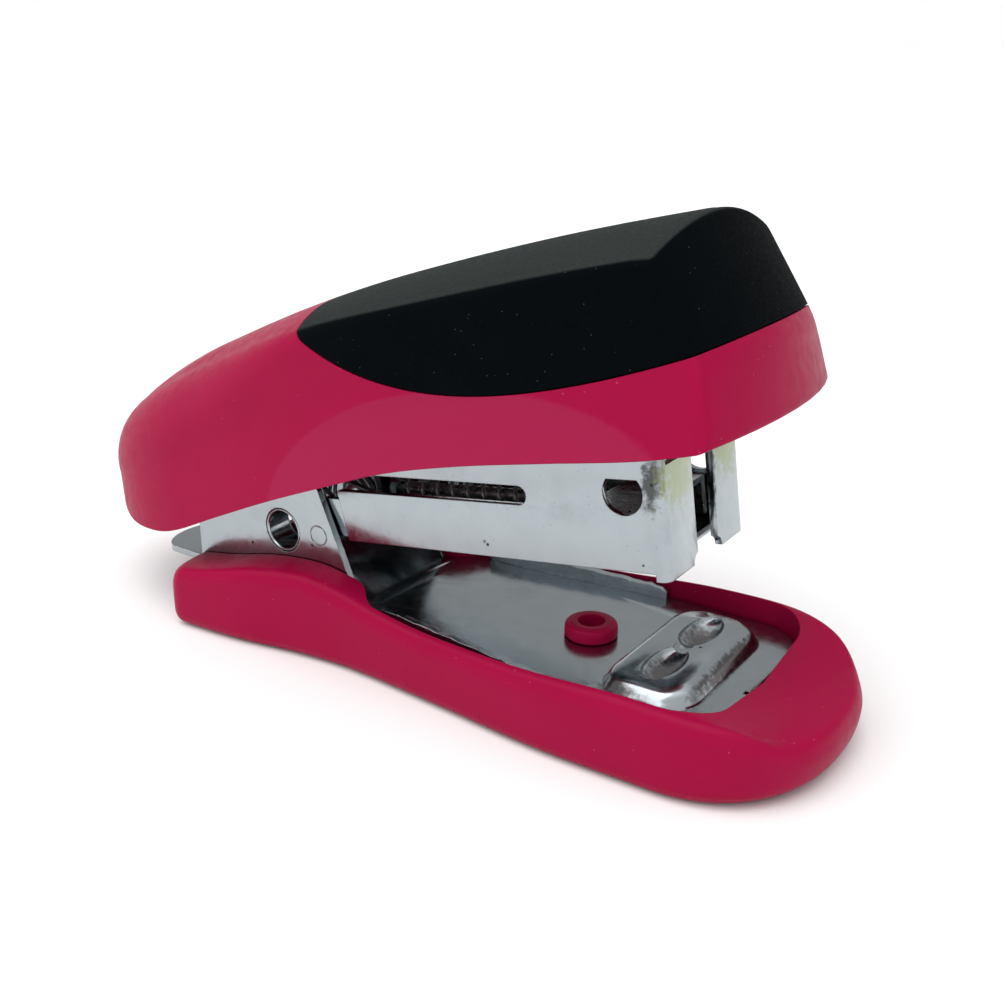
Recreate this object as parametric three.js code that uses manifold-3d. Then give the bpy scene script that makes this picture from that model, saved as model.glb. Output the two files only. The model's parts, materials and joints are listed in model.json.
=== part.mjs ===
// Miniature desk stapler, standing half open.
//
// Frame: millimetres, +X towards the front, +Y towards the left side, +Z up. The origin is on the
// surface it stands on, on the middle plane, straight under the pivot. The base is drawn from its
// rear end first, with lengths along x counted from 1.6 mm in front of that end, and the whole
// stapler is then moved back so that the pivot stands over the origin.

import * as THREE from 'three';
import * as BufferGeometryUtils from 'three/addons/utils/BufferGeometryUtils.js';
import Module from 'manifold-3d';

const wasm = await Module();
wasm.setup();

// ---------------------------------------------------------------- driving dimensions (mm)

const STAPLE_WIDTH = 12.6;          // outside width of the staples the magazine takes
const SHEET = 0.7;                  // steel sheet of the base plate and the case

const BASE_REAR = -1.6;             // x of the base's rear end on the centre line
const BASE_FRONT = 66.7;            // x of the base's nose
const FOOT_HEIGHT = 0.25;           // the rubber pad lifts the plastic this much
const FLOOR_TOP = 5.5;              // upper face of the base plate
const FLOOR_UNDER = FLOOR_TOP - SHEET;
const PLATE_FRONT = 58.7;           // x of the plate's front edge

const PIVOT = new THREE.Vector3(11.06, 0, 10.97);
const EYELET_RADIUS = 2.25;
const EYELET_INNER_END = 4.3;       // |y| where the eyelets end, between the arms
const EAR_OUTER = 7.14;             // |y| of the ears' outer faces, and of the case's sides
const EAR_INNER = EAR_OUTER - SHEET;

const CASE_TILT = 8.28;             // degrees, nose up, with nobody pressing
const HANDLE_STROKE = 9.0;          // degrees the handle turns against the magazine
const HANDLE_TILT = CASE_TILT + HANDLE_STROKE;

// The case, in its own frame: origin on the pivot, x along the case, z square to it.
const CASE_REAR = 8.6;
const CASE_FRONT = 42.56;
const CASE_UNDER = -0.34;
const CASE_TOP = 9.6;
const CASE_FLOOR_TOP = CASE_UNDER + SHEET;
const LIP_GAP = 3.84;               // opening between the two front lips
const LIP_SHEET = 0.65;
const LIP_DROP = 0.65;              // the lips reach this far below the floor
const ARM_OUTER = 6.2;              // |y| of the arms that run back between the ears
const ARM_SHEET = 0.6;

// The handle, in its own frame: origin on the pivot, x along the handle, z square to it.
const HANDLE_HEEL = -26.2;          // rear end
const HANDLE_NOSE = 50.2;           // front face at the lower corners
const HANDLE_WIDE = 12.0;           // half-width at the front
const FRONT_BOW = 2.1;              // the front face bows forward this much at its middle
const LEAN_SLOPE = 0.30;            // how steeply the front face leans back, above its lower part
const LEAN_START = 0.8;             // softens the change where the lean begins
const INSERT_SKIN = 1.3;            // thickness of the black insert
const SHELL_SKIN = 2.7;             // from the outside to the hollow inside the handle
const FRAME_WEB_Z = 11.0;           // underside of the handle frame's web

// ---------------------------------------------------------------- materials

const finish = (color, roughness, metalness) => () =>
  new THREE.MeshStandardMaterial({ color, roughness, metalness });
const pinkPlastic = finish(0xb8194c, 0.38, 0);
const softBlack = finish(0x131516, 0.75, 0);
const rubberBlack = finish(0x1c1c1c, 0.9, 0);
const chromedSteel = finish(0xc8cdd2, 0.16, 1);
const springSteel = finish(0x8d9094, 0.3, 1);

// ---------------------------------------------------------------- solids and booleans

const radians = THREE.MathUtils.degToRad;

function solid(geometry) {
  const bare = geometry.index ? geometry.toNonIndexed() : geometry.clone();
  bare.deleteAttribute('normal');
  bare.deleteAttribute('uv');
  const merged = BufferGeometryUtils.mergeVertices(bare, 1e-4);
  const vertProperties = new Float32Array(merged.attributes.position.array);
  const corners = merged.index.array;
  const kept = [];
  for (let i = 0; i < corners.length; i += 3) {
    const [a, b, c] = [corners[i], corners[i + 1], corners[i + 2]];
    if (a !== b && b !== c && c !== a) kept.push(a, b, c);
  }
  return new wasm.Manifold(new wasm.Mesh({ numProp: 3, vertProperties, triVerts: new Uint32Array(kept) }));
}

function toGeometry(body) {
  const mesh = body.getMesh();
  const geometry = new THREE.BufferGeometry();
  geometry.setAttribute('position', new THREE.BufferAttribute(new Float32Array(mesh.vertProperties), 3));
  geometry.setIndex(new THREE.BufferAttribute(new Uint32Array(mesh.triVerts), 1));
  return geometry;
}

const joinAll = (bodies) => bodies.reduce((whole, body) => whole.add(body));
const cutAll = (body, cutters) => cutters.reduce((rest, cutter) => rest.subtract(cutter), body);

// A box between two corners.
function block(x0, x1, y0, y1, z0, z1) {
  const geometry = new THREE.BoxGeometry(x1 - x0, y1 - y0, z1 - z0);
  geometry.translate((x0 + x1) / 2, (y0 + y1) / 2, (z0 + z1) / 2);
  return solid(geometry);
}

const mirroredBlocks = (x0, x1, y0, y1, z0, z1) =>
  [block(x0, x1, y0, y1, z0, z1), block(x0, x1, -y1, -y0, z0, z1)];

// An XZ outline carried along Y from y0 to y1.
function sidePrism(shape, y0, y1, curveSegments = 12) {
  const geometry = new THREE.ExtrudeGeometry(shape, { depth: y1 - y0, bevelEnabled: false, curveSegments });
  geometry.rotateX(Math.PI / 2);
  geometry.translate(0, y1, 0);
  return solid(geometry);
}

// An XY outline carried up from z0 to z1.
function planPrism(shape, z0, z1, curveSegments = 12) {
  const geometry = new THREE.ExtrudeGeometry(shape, { depth: z1 - z0, bevelEnabled: false, curveSegments });
  geometry.translate(0, 0, z0);
  return solid(geometry);
}

function cylinder(radius, length, along, [x, y, z], sides = 32, topRadius = radius) {
  const geometry = new THREE.CylinderGeometry(topRadius, radius, length, sides);
  if (along === 'x') geometry.rotateZ(-Math.PI / 2);
  if (along === 'z') geometry.rotateX(Math.PI / 2);
  geometry.translate(x, y, z);
  return solid(geometry);
}

// ---------------------------------------------------------------- outlines

const clamp01 = (t) => Math.min(1, Math.max(0, t));
const smooth = (t) => clamp01(t) * clamp01(t) * (3 - 2 * clamp01(t));

// A smooth curve through [position, value] knots, as a function of position.
function through(knots) {
  const slope = knots.map((knot, i) => {
    const before = knots[Math.max(0, i - 1)];
    const after = knots[Math.min(knots.length - 1, i + 1)];
    return (after[1] - before[1]) / (after[0] - before[0]);
  });
  return (at) => {
    const x = Math.min(knots.at(-1)[0], Math.max(knots[0][0], at));
    let i = 0;
    while (i < knots.length - 2 && x > knots[i + 1][0]) i += 1;
    const span = knots[i + 1][0] - knots[i][0];
    const t = (x - knots[i][0]) / span;
    const rise = t * t * (3 - 2 * t);
    return knots[i][1] * (1 - rise) + knots[i + 1][1] * rise
      + span * slope[i] * t * (1 - t) * (1 - t) - span * slope[i + 1] * t * t * (1 - t);
  };
}

// How much of its full width an end with a superelliptic outline keeps, `depth` long, at distance s.
const roundEnd = (s, depth, power) =>
  s <= 0 ? 1 : (1 - Math.min(1, s / depth) ** power) ** (1 / power);

function shapeOf(points) {
  const shape = new THREE.Shape();
  points.forEach(([x, y], i) => (i ? shape.lineTo(x, y) : shape.moveTo(x, y)));
  shape.closePath();
  return shape;
}

// A triangle mesh through rings of the same number of points; the first and last ring close on a point.
function skinRings(rings) {
  const positions = [];
  const push = (...corners) => corners.forEach((corner) => positions.push(...corner));
  for (let r = 0; r + 1 < rings.length; r += 1) {
    const [low, high] = [rings[r], rings[r + 1]];
    for (let i = 0; i < low.length; i += 1) {
      const j = (i + 1) % low.length;
      push(low[i], low[j], high[j], low[i], high[j], high[i]);
    }
  }
  const geometry = new THREE.BufferGeometry();
  geometry.setAttribute('position', new THREE.Float32BufferAttribute(positions, 3));
  return solid(geometry);
}

// ---------------------------------------------------------------- base outline

const baseHalfWidth = through([
  [-1.6, 13.1], [8, 12.5], [16, 11.2], [22, 10.8], [33, 11.6], [44, 12.6], [54, 12.65], [66, 12.6],
]);
const sideTop = through([
  [-1.6, 5.7], [4, 6.7], [10, 8.1], [16, 8.7], [20, 8.2], [25, 7.2], [31, 6.7], [40, 6.9], [50, 7.6],
  [57, 7.6], [62, 6.9], [66.7, 5.7],
]);
const NOSE_START = 54.4;
const REAR_ROUND = 3.6;
const FRONT_TOP = 5.8;              // height of the pink in front of the plate

// Height of the base's top: rims at the sides, lower in front of the plate.
function baseTop(x, y) {
  const ahead = smooth((x - 55.5) / 3) * (1 - smooth((Math.abs(y) - 7) / 4));
  const front = FRONT_TOP - 0.7 * smooth((x - 60) / 7);
  return sideTop(x) + (front - sideTop(x)) * ahead;
}

// Half-width of the base at x, drawn in by `inset` all round.
function baseEdge(x, inset) {
  const front = roundEnd(x - NOSE_START, BASE_FRONT - inset - NOSE_START, 2.45);
  const rear = roundEnd(BASE_REAR + REAR_ROUND - x, REAR_ROUND - inset, 3);
  return (baseHalfWidth(x) - inset) * Math.min(front, rear);
}

// x stations from the rear to the nose, close together where the ends turn.
function baseStations(inset) {
  const rear = BASE_REAR + inset;
  const front = BASE_FRONT - inset;
  const turn = (i, n) => 1 - Math.cos((i / n) * Math.PI / 2);
  const list = [];
  for (let i = 0; i <= 8; i += 1) {
    list.push(rear + turn(i, 8) * (BASE_REAR + REAR_ROUND - rear));
  }
  for (let i = 1; i < 16; i += 1) {
    list.push(BASE_REAR + REAR_ROUND + (i / 16) * (NOSE_START - BASE_REAR - REAR_ROUND));
  }
  for (let i = 14; i >= 0; i -= 1) {
    list.push(front - turn(i, 14) * (front - NOSE_START));
  }
  return list;
}

// The closed outline, anticlockwise from the rear end, as [x, y] points.
function baseOutline(inset) {
  const stations = baseStations(inset);
  const right = stations.map((x) => [x, -baseEdge(x, inset)]);
  const left = stations.slice(1, -1).reverse().map((x) => [x, baseEdge(x, inset)]);
  return [...right, ...left];
}

// ---------------------------------------------------------------- base shell

// The base's outer form: its outline stacked upwards with rounded lower and upper edges.
function baseForm() {
  const layer = (inset, height, tuck = 0) =>
    baseOutline(inset).map(([x, y]) => [x - tuck * smooth((x - 50) / 15), y, height(x, y)]);
  const centre = (height) => baseOutline(1.6).map(([x]) => [x, 0, height(x, 0)]);
  const flat = (z) => () => z;
  const below = (drop) => (x, y) => baseTop(x, y) - drop;
  return skinRings([
    centre(flat(FOOT_HEIGHT)),
    layer(1.1, flat(FOOT_HEIGHT), 1.4),
    layer(0.4, flat(FOOT_HEIGHT + 0.2), 1.2),
    layer(0.1, flat(FOOT_HEIGHT + 0.7), 0.8),
    layer(0, flat(FOOT_HEIGHT + 1.5), 0.3),
    layer(0.03, below(1.9)),
    layer(0.16, below(1.0)),
    layer(0.45, below(0.35)),
    layer(0.9, below(0.06)),
    layer(1.6, below(0)),
    centre(below(0)),
  ]);
}

const PLATE_INSET = 1.5;            // the plate's edge is this far inside the base's edge
const EAR_FOOT = 20.8;             // x where the ears' front edges meet the floor
const POST_X = 42.26;

// Outline of the base plate forward of the ears, grown by `grow` all round.
function plateOutline(grow) {
  const outline = new THREE.Shape();
  const half = (x) => baseHalfWidth(x) - PLATE_INSET + grow;
  const neck = EAR_OUTER + Math.min(grow, 0.15);
  const corner = 4.4;
  const front = PLATE_FRONT + grow;
  const widening = [24.5, 28, 32, 36, 40, 44, 48, 51];
  outline.moveTo(0.6, -neck);
  outline.lineTo(EAR_FOOT - 0.4, -neck);
  outline.bezierCurveTo(22.4, -neck, 22.6, -half(24.5) + 0.6, 24.5, -half(24.5));
  widening.forEach((x) => outline.lineTo(x, -half(x)));
  outline.lineTo(front - corner, -half(54));
  outline.absarc(front - corner, -half(54) + corner, corner, -Math.PI / 2, 0, false);
  outline.lineTo(front, half(54) - corner);
  outline.absarc(front - corner, half(54) - corner, corner, 0, Math.PI / 2, false);
  widening.slice().reverse().forEach((x) => outline.lineTo(x, half(x)));
  outline.bezierCurveTo(22.6, half(24.5) - 0.6, 22.4, neck, EAR_FOOT - 0.4, neck);
  outline.lineTo(0.6, neck);
  outline.closePath();
  return outline;
}

function baseShell() {
  const deck = FLOOR_UNDER - 1.6;
  const hollow = planPrism(shapeOf(baseOutline(2.6)), -1, deck);
  const padPocket = planPrism(shapeOf(baseOutline(1.7)), -1, 1.35);
  const channel = block(BASE_REAR - 2, 2, -EAR_OUTER - 0.15, EAR_OUTER + 0.15, FLOOR_UNDER - 0.05, 20);
  const tongueMouth = block(BASE_REAR - 2, 2.5, -4.8, 4.8, 2.2, FLOOR_UNDER);
  const ribs = [14, 28, 42, 54].map((x) => block(x - 0.6, x + 0.6, -14, 14, 1.45, deck + 0.2));
  const spine = block(3, 62, -0.6, 0.6, 1.45, deck + 0.2);
  const inside = planPrism(shapeOf(baseOutline(2.0)), 1.4, deck + 0.3);
  const ribbing = joinAll([...ribs, spine]).intersect(inside);
  const post = cylinder(1.85, 3.4, 'z', [POST_X, 0, FLOOR_UNDER - 0.2 + 0.6]);
  const head = cylinder(2.46, 1.25, 'z', [POST_X, 0, FLOOR_TOP + 0.1 + 0.625], 40, 2.3);
  const bore = cylinder(1.27, 4, 'z', [POST_X, 0, FLOOR_TOP + 1.3]);
  const recess = planPrism(plateOutline(0.35), FLOOR_UNDER - 0.05, 20, 8);
  const shell = cutAll(baseForm(), [hollow, padPocket, channel, recess, tongueMouth]);
  return cutAll(joinAll([shell, ribbing, post, head]), [bore]);
}

const basePad = () => planPrism(shapeOf(baseOutline(2.0)), 0, 1.3);

// ---------------------------------------------------------------- base plate

const ANVIL_REAR = 47.1;
const ANVIL_FRONT = 56.05;
const ANVIL_HALF = 8.9;
const ANVIL_CORNER = 3.5;
const ANVIL_TOP = 7.0;
const GROOVE_X = 51.55;

// The low flanges that stiffen the plate's waist, a little higher at the rear.
function waistFlange(side) {
  const stations = [25.0, 28, 32, 36, 40, 44.6];
  const outer = stations.map((x) => [x, side * (baseHalfWidth(x) - PLATE_INSET)]);
  const inner = stations.map((x) => [x, side * (baseHalfWidth(x) - PLATE_INSET - SHEET)]).reverse();
  const points = side < 0 ? [...outer, ...inner] : [...outer, ...inner].reverse();
  const profile = shapeOf([[24, FLOOR_UNDER], [46, FLOOR_UNDER], [46, 6.7], [24, 7.3]]);
  return planPrism(shapeOf(points), FLOOR_UNDER, 8).intersect(sidePrism(profile, -14, 14));
}

// One ear: rear edge upright, round top, front edge sloping down and forward.
function earShape() {
  const ear = new THREE.Shape();
  ear.moveTo(-1.0, FLOOR_UNDER);
  ear.lineTo(-1.0, 9.2);
  ear.quadraticCurveTo(-0.6, 16.6, 7.0, 16.8);
  ear.lineTo(14.6, 16.8);
  ear.quadraticCurveTo(15.7, 16.8, 16.0, 16.0);
  ear.lineTo(20.0, 6.6);
  ear.lineTo(EAR_FOOT, FLOOR_UNDER);
  ear.closePath();
  return ear;
}

// Rear tongue for prising staples out: it steps down from the floor and ends in a half-round.
function tongue() {
  const step = new THREE.Shape();
  step.moveTo(1.4, FLOOR_TOP);
  step.lineTo(0.4, FLOOR_TOP);
  step.lineTo(-1.9, 3.45);
  step.lineTo(-12, 3.45);
  step.lineTo(-12, 3.45 - SHEET);
  step.lineTo(-2.3, 3.45 - SHEET);
  step.lineTo(0.0, FLOOR_UNDER);
  step.lineTo(1.4, FLOOR_UNDER);
  step.closePath();
  const plan = new THREE.Shape();
  plan.moveTo(2, -4.1);
  plan.lineTo(2, 4.1);
  plan.lineTo(-8.8, 4.1);
  plan.absellipse(-8.8, 0, 2.6, 4.1, Math.PI / 2, Math.PI * 1.5, false);
  plan.closePath();
  return sidePrism(step, -4.4, 4.4).intersect(planPrism(plan, 0, 9, 16));
}

// Raised anvil: a rounded rectangle with sloping walls and two crimp grooves end to end.
function anvilPlateau() {
  const ring = (inset, z) => {
    const x0 = ANVIL_REAR + inset;
    const x1 = ANVIL_FRONT - inset;
    const y1 = ANVIL_HALF - inset;
    const r = ANVIL_CORNER - 0.8 * inset;
    const points = [];
    [[x1 - r, -y1 + r, -90], [x1 - r, y1 - r, 0], [x0 + r, y1 - r, 90], [x0 + r, -y1 + r, 180]]
      .forEach(([cx, cy, start]) => {
        for (let k = 0; k <= 5; k += 1) {
          const angle = radians(start + k * 18);
          points.push([cx + r * Math.cos(angle), cy + r * Math.sin(angle), z]);
        }
      });
    return points;
  };
  const middle = (z) => ring(0, z).map(([, , height]) => [(ANVIL_REAR + ANVIL_FRONT) / 2, 0, height]);
  return skinRings([
    middle(FLOOR_TOP - 0.35), ring(0, FLOOR_TOP - 0.35), ring(0, FLOOR_TOP), ring(0.3, FLOOR_TOP + 0.5),
    ring(0.75, ANVIL_TOP - 0.35), ring(1.4, ANVIL_TOP), middle(ANVIL_TOP),
  ]);
}

function crimpGroove(side) {
  const geometry = new THREE.SphereGeometry(1, 20, 12);
  geometry.scale(1.6, 3.3, 1.1);
  geometry.translate(GROOVE_X, side * 3.55, ANVIL_TOP + 0.1);
  return solid(geometry);
}

function basePlate() {
  const floor = planPrism(plateOutline(0), FLOOR_UNDER, FLOOR_TOP, 8);
  const ear = (side) => sidePrism(earShape(), Math.min(side * EAR_INNER, side * EAR_OUTER),
    Math.max(side * EAR_INNER, side * EAR_OUTER));
  const earBump = (side) => cylinder(0.97, 0.3, 'y', [15.8, side * (EAR_OUTER + 0.02), 11.43], 20);
  const pivotHole = cylinder(EYELET_RADIUS + 0.03, 20, 'y', PIVOT.toArray(), 40);
  const postHole = cylinder(2.05, 4, 'z', [POST_X, 0, FLOOR_TOP], 28);
  const notch = block(PLATE_FRONT - 0.5, PLATE_FRONT + 1, -2.2, -1.6, 4, 6);
  const pressing = joinAll([floor, ear(-1), ear(1), waistFlange(-1), waistFlange(1), tongue(), anvilPlateau(),
    earBump(-1), earBump(1)]);
  return cutAll(pressing, [pivotHole, postHole, notch, crimpGroove(-1), crimpGroove(1)]);
}

// ---------------------------------------------------------------- pivot and springs

// An eyelet through one ear and the arms beside it, level with the ear's outer face.
function pivotEyelet(side) {
  const length = EAR_OUTER - EYELET_INNER_END;
  const centre = [PIVOT.x, side * (EAR_OUTER + EYELET_INNER_END) / 2, PIVOT.z];
  return cylinder(EYELET_RADIUS, length, 'y', centre, 40)
    .subtract(cylinder(EYELET_RADIUS - 0.3, length + 1, 'y', centre, 40));
}

// A wire along a path, as an extruded six-sided section.
function wireAlong(points, radius, steps) {
  const path = new THREE.CatmullRomCurve3(points, false, 'centripetal');
  const corner = (i) => [radius * Math.cos(i * Math.PI / 3), radius * Math.sin(i * Math.PI / 3)];
  const section = shapeOf([0, 1, 2, 3, 4, 5].map(corner));
  const geometry = new THREE.ExtrudeGeometry(section, { steps, extrudePath: path });
  return solid(geometry);
}

// A torsion spring wound round the pivot between y0 and y1, with a straight leg to each tip.
// The coil starts at the angle `coil`, in degrees nose-up from +X.
function torsionSpring(y0, y1, turns, firstLeg, lastLeg) {
  const coilRadius = 3.05;
  const wire = 0.28;
  const at = (angle, radius, y) => new THREE.Vector3(
    PIVOT.x + radius * Math.cos(angle), y, PIVOT.z + radius * Math.sin(angle));
  const [startAngle, endAngle] = [radians(firstLeg.coil), radians(firstLeg.coil) + turns * Math.PI * 2];
  const points = [];
  const coilSteps = Math.round(turns * 12);
  points.push(firstLeg.tip);
  for (let i = 0; i <= coilSteps; i += 1) {
    const t = i / coilSteps;
    points.push(at(startAngle + t * (endAngle - startAngle), coilRadius, y0 + t * (y1 - y0)));
  }
  points.push(lastLeg.tip);
  return wireAlong(points, wire, Math.round(turns * 12) + 12);
}

// Lifts the magazine: one leg runs back to the base plate's floor, the other forward under the case.
const liftSpring = () => torsionSpring(-4.45, -1.2, 3 + 20 / 360,
  { coil: 260, tip: new THREE.Vector3(2.0, -4.45, FLOOR_TOP + 0.45) },
  { tip: new THREE.Vector3(20.0, -1.2, PIVOT.z + 0.2) });

// Lifts the handle: one leg forward on the case floor, the other up under the handle frame's web.
const handleSpring = () => torsionSpring(1.2, 4.45, 4 - 60 / 360,
  { coil: 80, tip: new THREE.Vector3(19.2, 1.2, PIVOT.z + 2.0) },
  { tip: new THREE.Vector3(11.6, 4.45, PIVOT.z + 10.9) });

// ---------------------------------------------------------------- magazine

function magazineCase() {
  const floorFront = 40.9;
  const bend = 0.8;
  const lipInner = LIP_GAP / 2;
  const wallPlan = (side) => {
    const plan = new THREE.Shape();
    plan.moveTo(CASE_REAR - 0.5, -EAR_OUTER);
    plan.lineTo(CASE_FRONT - bend, -EAR_OUTER);
    plan.absarc(CASE_FRONT - bend, -EAR_OUTER + bend, bend, -Math.PI / 2, 0, false);
    plan.lineTo(CASE_FRONT, -lipInner);
    plan.lineTo(CASE_FRONT - LIP_SHEET, -lipInner);
    plan.lineTo(CASE_FRONT - LIP_SHEET, -EAR_OUTER + bend);
    plan.absarc(CASE_FRONT - bend, -EAR_OUTER + bend, bend - LIP_SHEET, 0, -Math.PI / 2, true);
    plan.lineTo(CASE_REAR - 0.5, -EAR_INNER);
    plan.closePath();
    const wall = planPrism(plan, CASE_UNDER - LIP_DROP, CASE_TOP, 6);
    return side < 0 ? wall : wall.mirror([0, 1, 0]);
  };
  const wide = [wallPlan(-1), wallPlan(1)];
  const underWalls = block(0, CASE_FRONT - 1.2, -9, 9, CASE_UNDER - 2, CASE_UNDER);
  const lipHalf = EAR_OUTER - bend;
  const overLips = block(CASE_FRONT - 0.75, CASE_FRONT + 1, -lipHalf, lipHalf, CASE_TOP - 1, 20);
  const floor = block(CASE_REAR - 0.5, floorFront, -EAR_OUTER, EAR_OUTER, CASE_UNDER, CASE_FLOOR_TOP);
  const neck = block(4.4, CASE_REAR + 1, -ARM_OUTER, ARM_OUTER, CASE_UNDER, CASE_FLOOR_TOP);
  const armShape = new THREE.Shape();
  armShape.moveTo(CASE_REAR + 0.8, CASE_UNDER);
  armShape.lineTo(CASE_REAR + 0.8, 3.4);
  armShape.lineTo(0, 3.4);
  armShape.absarc(0, 0, 3.4, Math.PI / 2, Math.PI * 1.5, false);
  armShape.lineTo(2.6, -2.2);
  armShape.lineTo(4.4, CASE_UNDER);
  armShape.closePath();
  const arms = [sidePrism(armShape, -ARM_OUTER, -ARM_OUTER + ARM_SHEET, 16),
    sidePrism(armShape, ARM_OUTER - ARM_SHEET, ARM_OUTER, 16)];
  const lipNibble = [-1, 1].map((side) =>
    cylinder(1.0, 3, 'x', [CASE_FRONT, side * (lipInner - 0.25), CASE_UNDER - LIP_DROP], 24));
  const slot = new THREE.Shape();
  slot.moveTo(CASE_REAR - 2, 4.55);
  slot.lineTo(28.8, 4.62);
  slot.absarc(28.8, 5.46, 0.84, -Math.PI / 2, Math.PI / 2, false);
  slot.lineTo(CASE_REAR - 2, 6.3);
  slot.closePath();
  const eye = new THREE.Shape();
  eye.absarc(38.94, 6.26, 1.82, radians(140), radians(400), false);
  eye.closePath();
  const rearTrim = new THREE.Shape();
  rearTrim.moveTo(6, -2);
  rearTrim.lineTo(CASE_REAR + 0.3, -2);
  rearTrim.lineTo(CASE_REAR - 0.45, 4.6);
  rearTrim.lineTo(CASE_REAR - 1.0, 11);
  rearTrim.lineTo(6, 11);
  rearTrim.closePath();
  const trims = [sidePrism(rearTrim, -9, -ARM_OUTER - 0.02), sidePrism(rearTrim, ARM_OUTER + 0.02, 9)];
  const pivotHole = cylinder(EYELET_RADIUS + 0.1, 20, 'y', [0, 0, 0], 40);
  const rivetHoles = RAIL_RIVETS.map((x) => cylinder(0.8, 3, 'z', [x, 0, CASE_UNDER], 16));
  const walls = cutAll(joinAll(wide), [underWalls, overLips, ...lipNibble]);
  const pressing = joinAll([floor, neck, walls]);
  const trimmed = cutAll(pressing, trims);
  return cutAll(joinAll([trimmed, ...arms]), [pivotHole, ...rivetHoles,
    sidePrism(slot, -9, -EAR_INNER + 0.2), sidePrism(slot, EAR_INNER - 0.2, 9),
    sidePrism(eye, -9, -EAR_INNER + 0.2, 20), sidePrism(eye, EAR_INNER - 0.2, 9, 20)]);
}

const RAIL_REAR = 10.0;
const RAIL_FRONT = 40.4;
const RAIL_RIVETS = [12.4, 38.4];
const RAIL_SHEET = 0.6;
const RAIL_UNDER = CASE_FLOOR_TOP + 0.05;
const ROD_Z = 2.9;
const ROD_RADIUS = 0.7;

// The strip on the case floor whose upturned ends hold the guide rod.
function stapleRail() {
  const strip = block(RAIL_REAR, RAIL_FRONT, -2.4, 2.4, RAIL_UNDER, RAIL_UNDER + RAIL_SHEET);
  const ends = [RAIL_REAR, RAIL_FRONT - RAIL_SHEET].map((x) =>
    block(x, x + RAIL_SHEET, -1.6, 1.6, RAIL_UNDER, ROD_Z + 1.0));
  const rodHole = cylinder(ROD_RADIUS + 0.05, 60, 'x', [25, 0, ROD_Z], 20);
  const rivetHoles = RAIL_RIVETS.map((x) => cylinder(0.8, 3, 'z', [x, 0, RAIL_UNDER], 16));
  return cutAll(joinAll([strip, ...ends]), [rodHole, ...rivetHoles]);
}

function railRivet(x) {
  const shank = cylinder(0.75, 1.7, 'z', [x, 0, CASE_UNDER + 0.65], 16);
  const head = cylinder(1.25, 0.3, 'z', [x, 0, RAIL_UNDER + RAIL_SHEET + 0.17], 16);
  const foot = cylinder(1.2, 0.25, 'z', [x, 0, CASE_UNDER - 0.145], 16);
  return joinAll([shank, head, foot]);
}

const PUSHER_FRONT = 39.6;
const PUSHER_LENGTH = 6.0;
const PUSHER_REAR = PUSHER_FRONT - PUSHER_LENGTH;

// A folded saddle as wide as a staple, with a collar that slides on the rod.
function staplePusher() {
  const top = 4.15;
  const half = STAPLE_WIDTH / 2 - 0.2;
  const middle = (PUSHER_REAR + PUSHER_FRONT) / 2;
  const legs = mirroredBlocks(PUSHER_REAR, PUSHER_FRONT, half - 0.5, half, RAIL_UNDER + 0.2, top);
  const roof = block(PUSHER_REAR, PUSHER_FRONT, -half, half, top - 0.5, top);
  const collar = cylinder(1.45, PUSHER_LENGTH - 2, 'x', [middle, 0, ROD_Z], 24);
  const bore = cylinder(ROD_RADIUS + 0.08, 20, 'x', [middle, 0, ROD_Z], 24);
  return cutAll(joinAll([roof, ...legs, collar]), [bore]);
}

function guideRod() {
  const middle = (RAIL_FRONT + RAIL_REAR) / 2 - 0.2;
  const rod = cylinder(ROD_RADIUS, RAIL_FRONT - RAIL_REAR + 0.6, 'x', [middle, 0, ROD_Z], 20);
  const head = cylinder(1.2, 0.4, 'x', [RAIL_REAR - 0.4, 0, ROD_Z], 20);
  return rod.add(head);
}

function pusherSpring() {
  const x0 = RAIL_REAR + RAIL_SHEET + 0.3;
  const x1 = PUSHER_REAR + 0.7;
  const turns = 13;
  const points = [];
  for (let i = 0; i <= turns * 8; i += 1) {
    const t = i / (turns * 8);
    const angle = t * turns * Math.PI * 2;
    points.push(new THREE.Vector3(x0 + t * (x1 - x0), 1.3 * Math.cos(angle), ROD_Z + 1.3 * Math.sin(angle)));
  }
  return wireAlong(points, 0.22, turns * 8);
}

// ---------------------------------------------------------------- handle

const handleLower = through([
  [HANDLE_HEEL, 9.0], [-24.4, 6.5], [-20.5, 3.8], [-15, 2.4], [-11, 2.15], [-4, 3.0], [4, 3.95], [12, 4.6],
  [19, 5.05], [27, 4.85], [36, 4.2], [44, 3.6], [52, 3.5],
]);
const handleCrest = through([
  [HANDLE_HEEL, 9.8], [-24.4, 12.7], [-21.5, 15.1], [-16.5, 17.0], [-10, 18.5], [-4, 19.3], [5, 20.25],
  [15, 20.85], [25, 20.95], [35, 20.75], [43, 20.35], [52, 19.8],
]);
const crownHeight = through([[-24.8, 0.5], [-8, 1.2], [12, 1.9], [28, 2.3], [52, 2.1]]);
const shoulderRadius = through([
  [-24.8, 5], [-12, 7.5], [0, 5.2], [11, 2.0], [18, 1.1], [38, 0.9], [52, 0.7],
]);
const handleWide = through([[-24.8, 11.4], [-8, 11.5], [10, 11.8], [30, 12.0], [52, 12.25]]);
const HEEL_ROUND = 17.5;            // length over which the heel rounds off in plan

// The side leans in from the lower edge up to the shoulder.
const sideLean = (rise) => 0.187 * Math.min(rise, 6.7) + 0.03 * Math.max(0, rise - 6.7);

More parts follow.
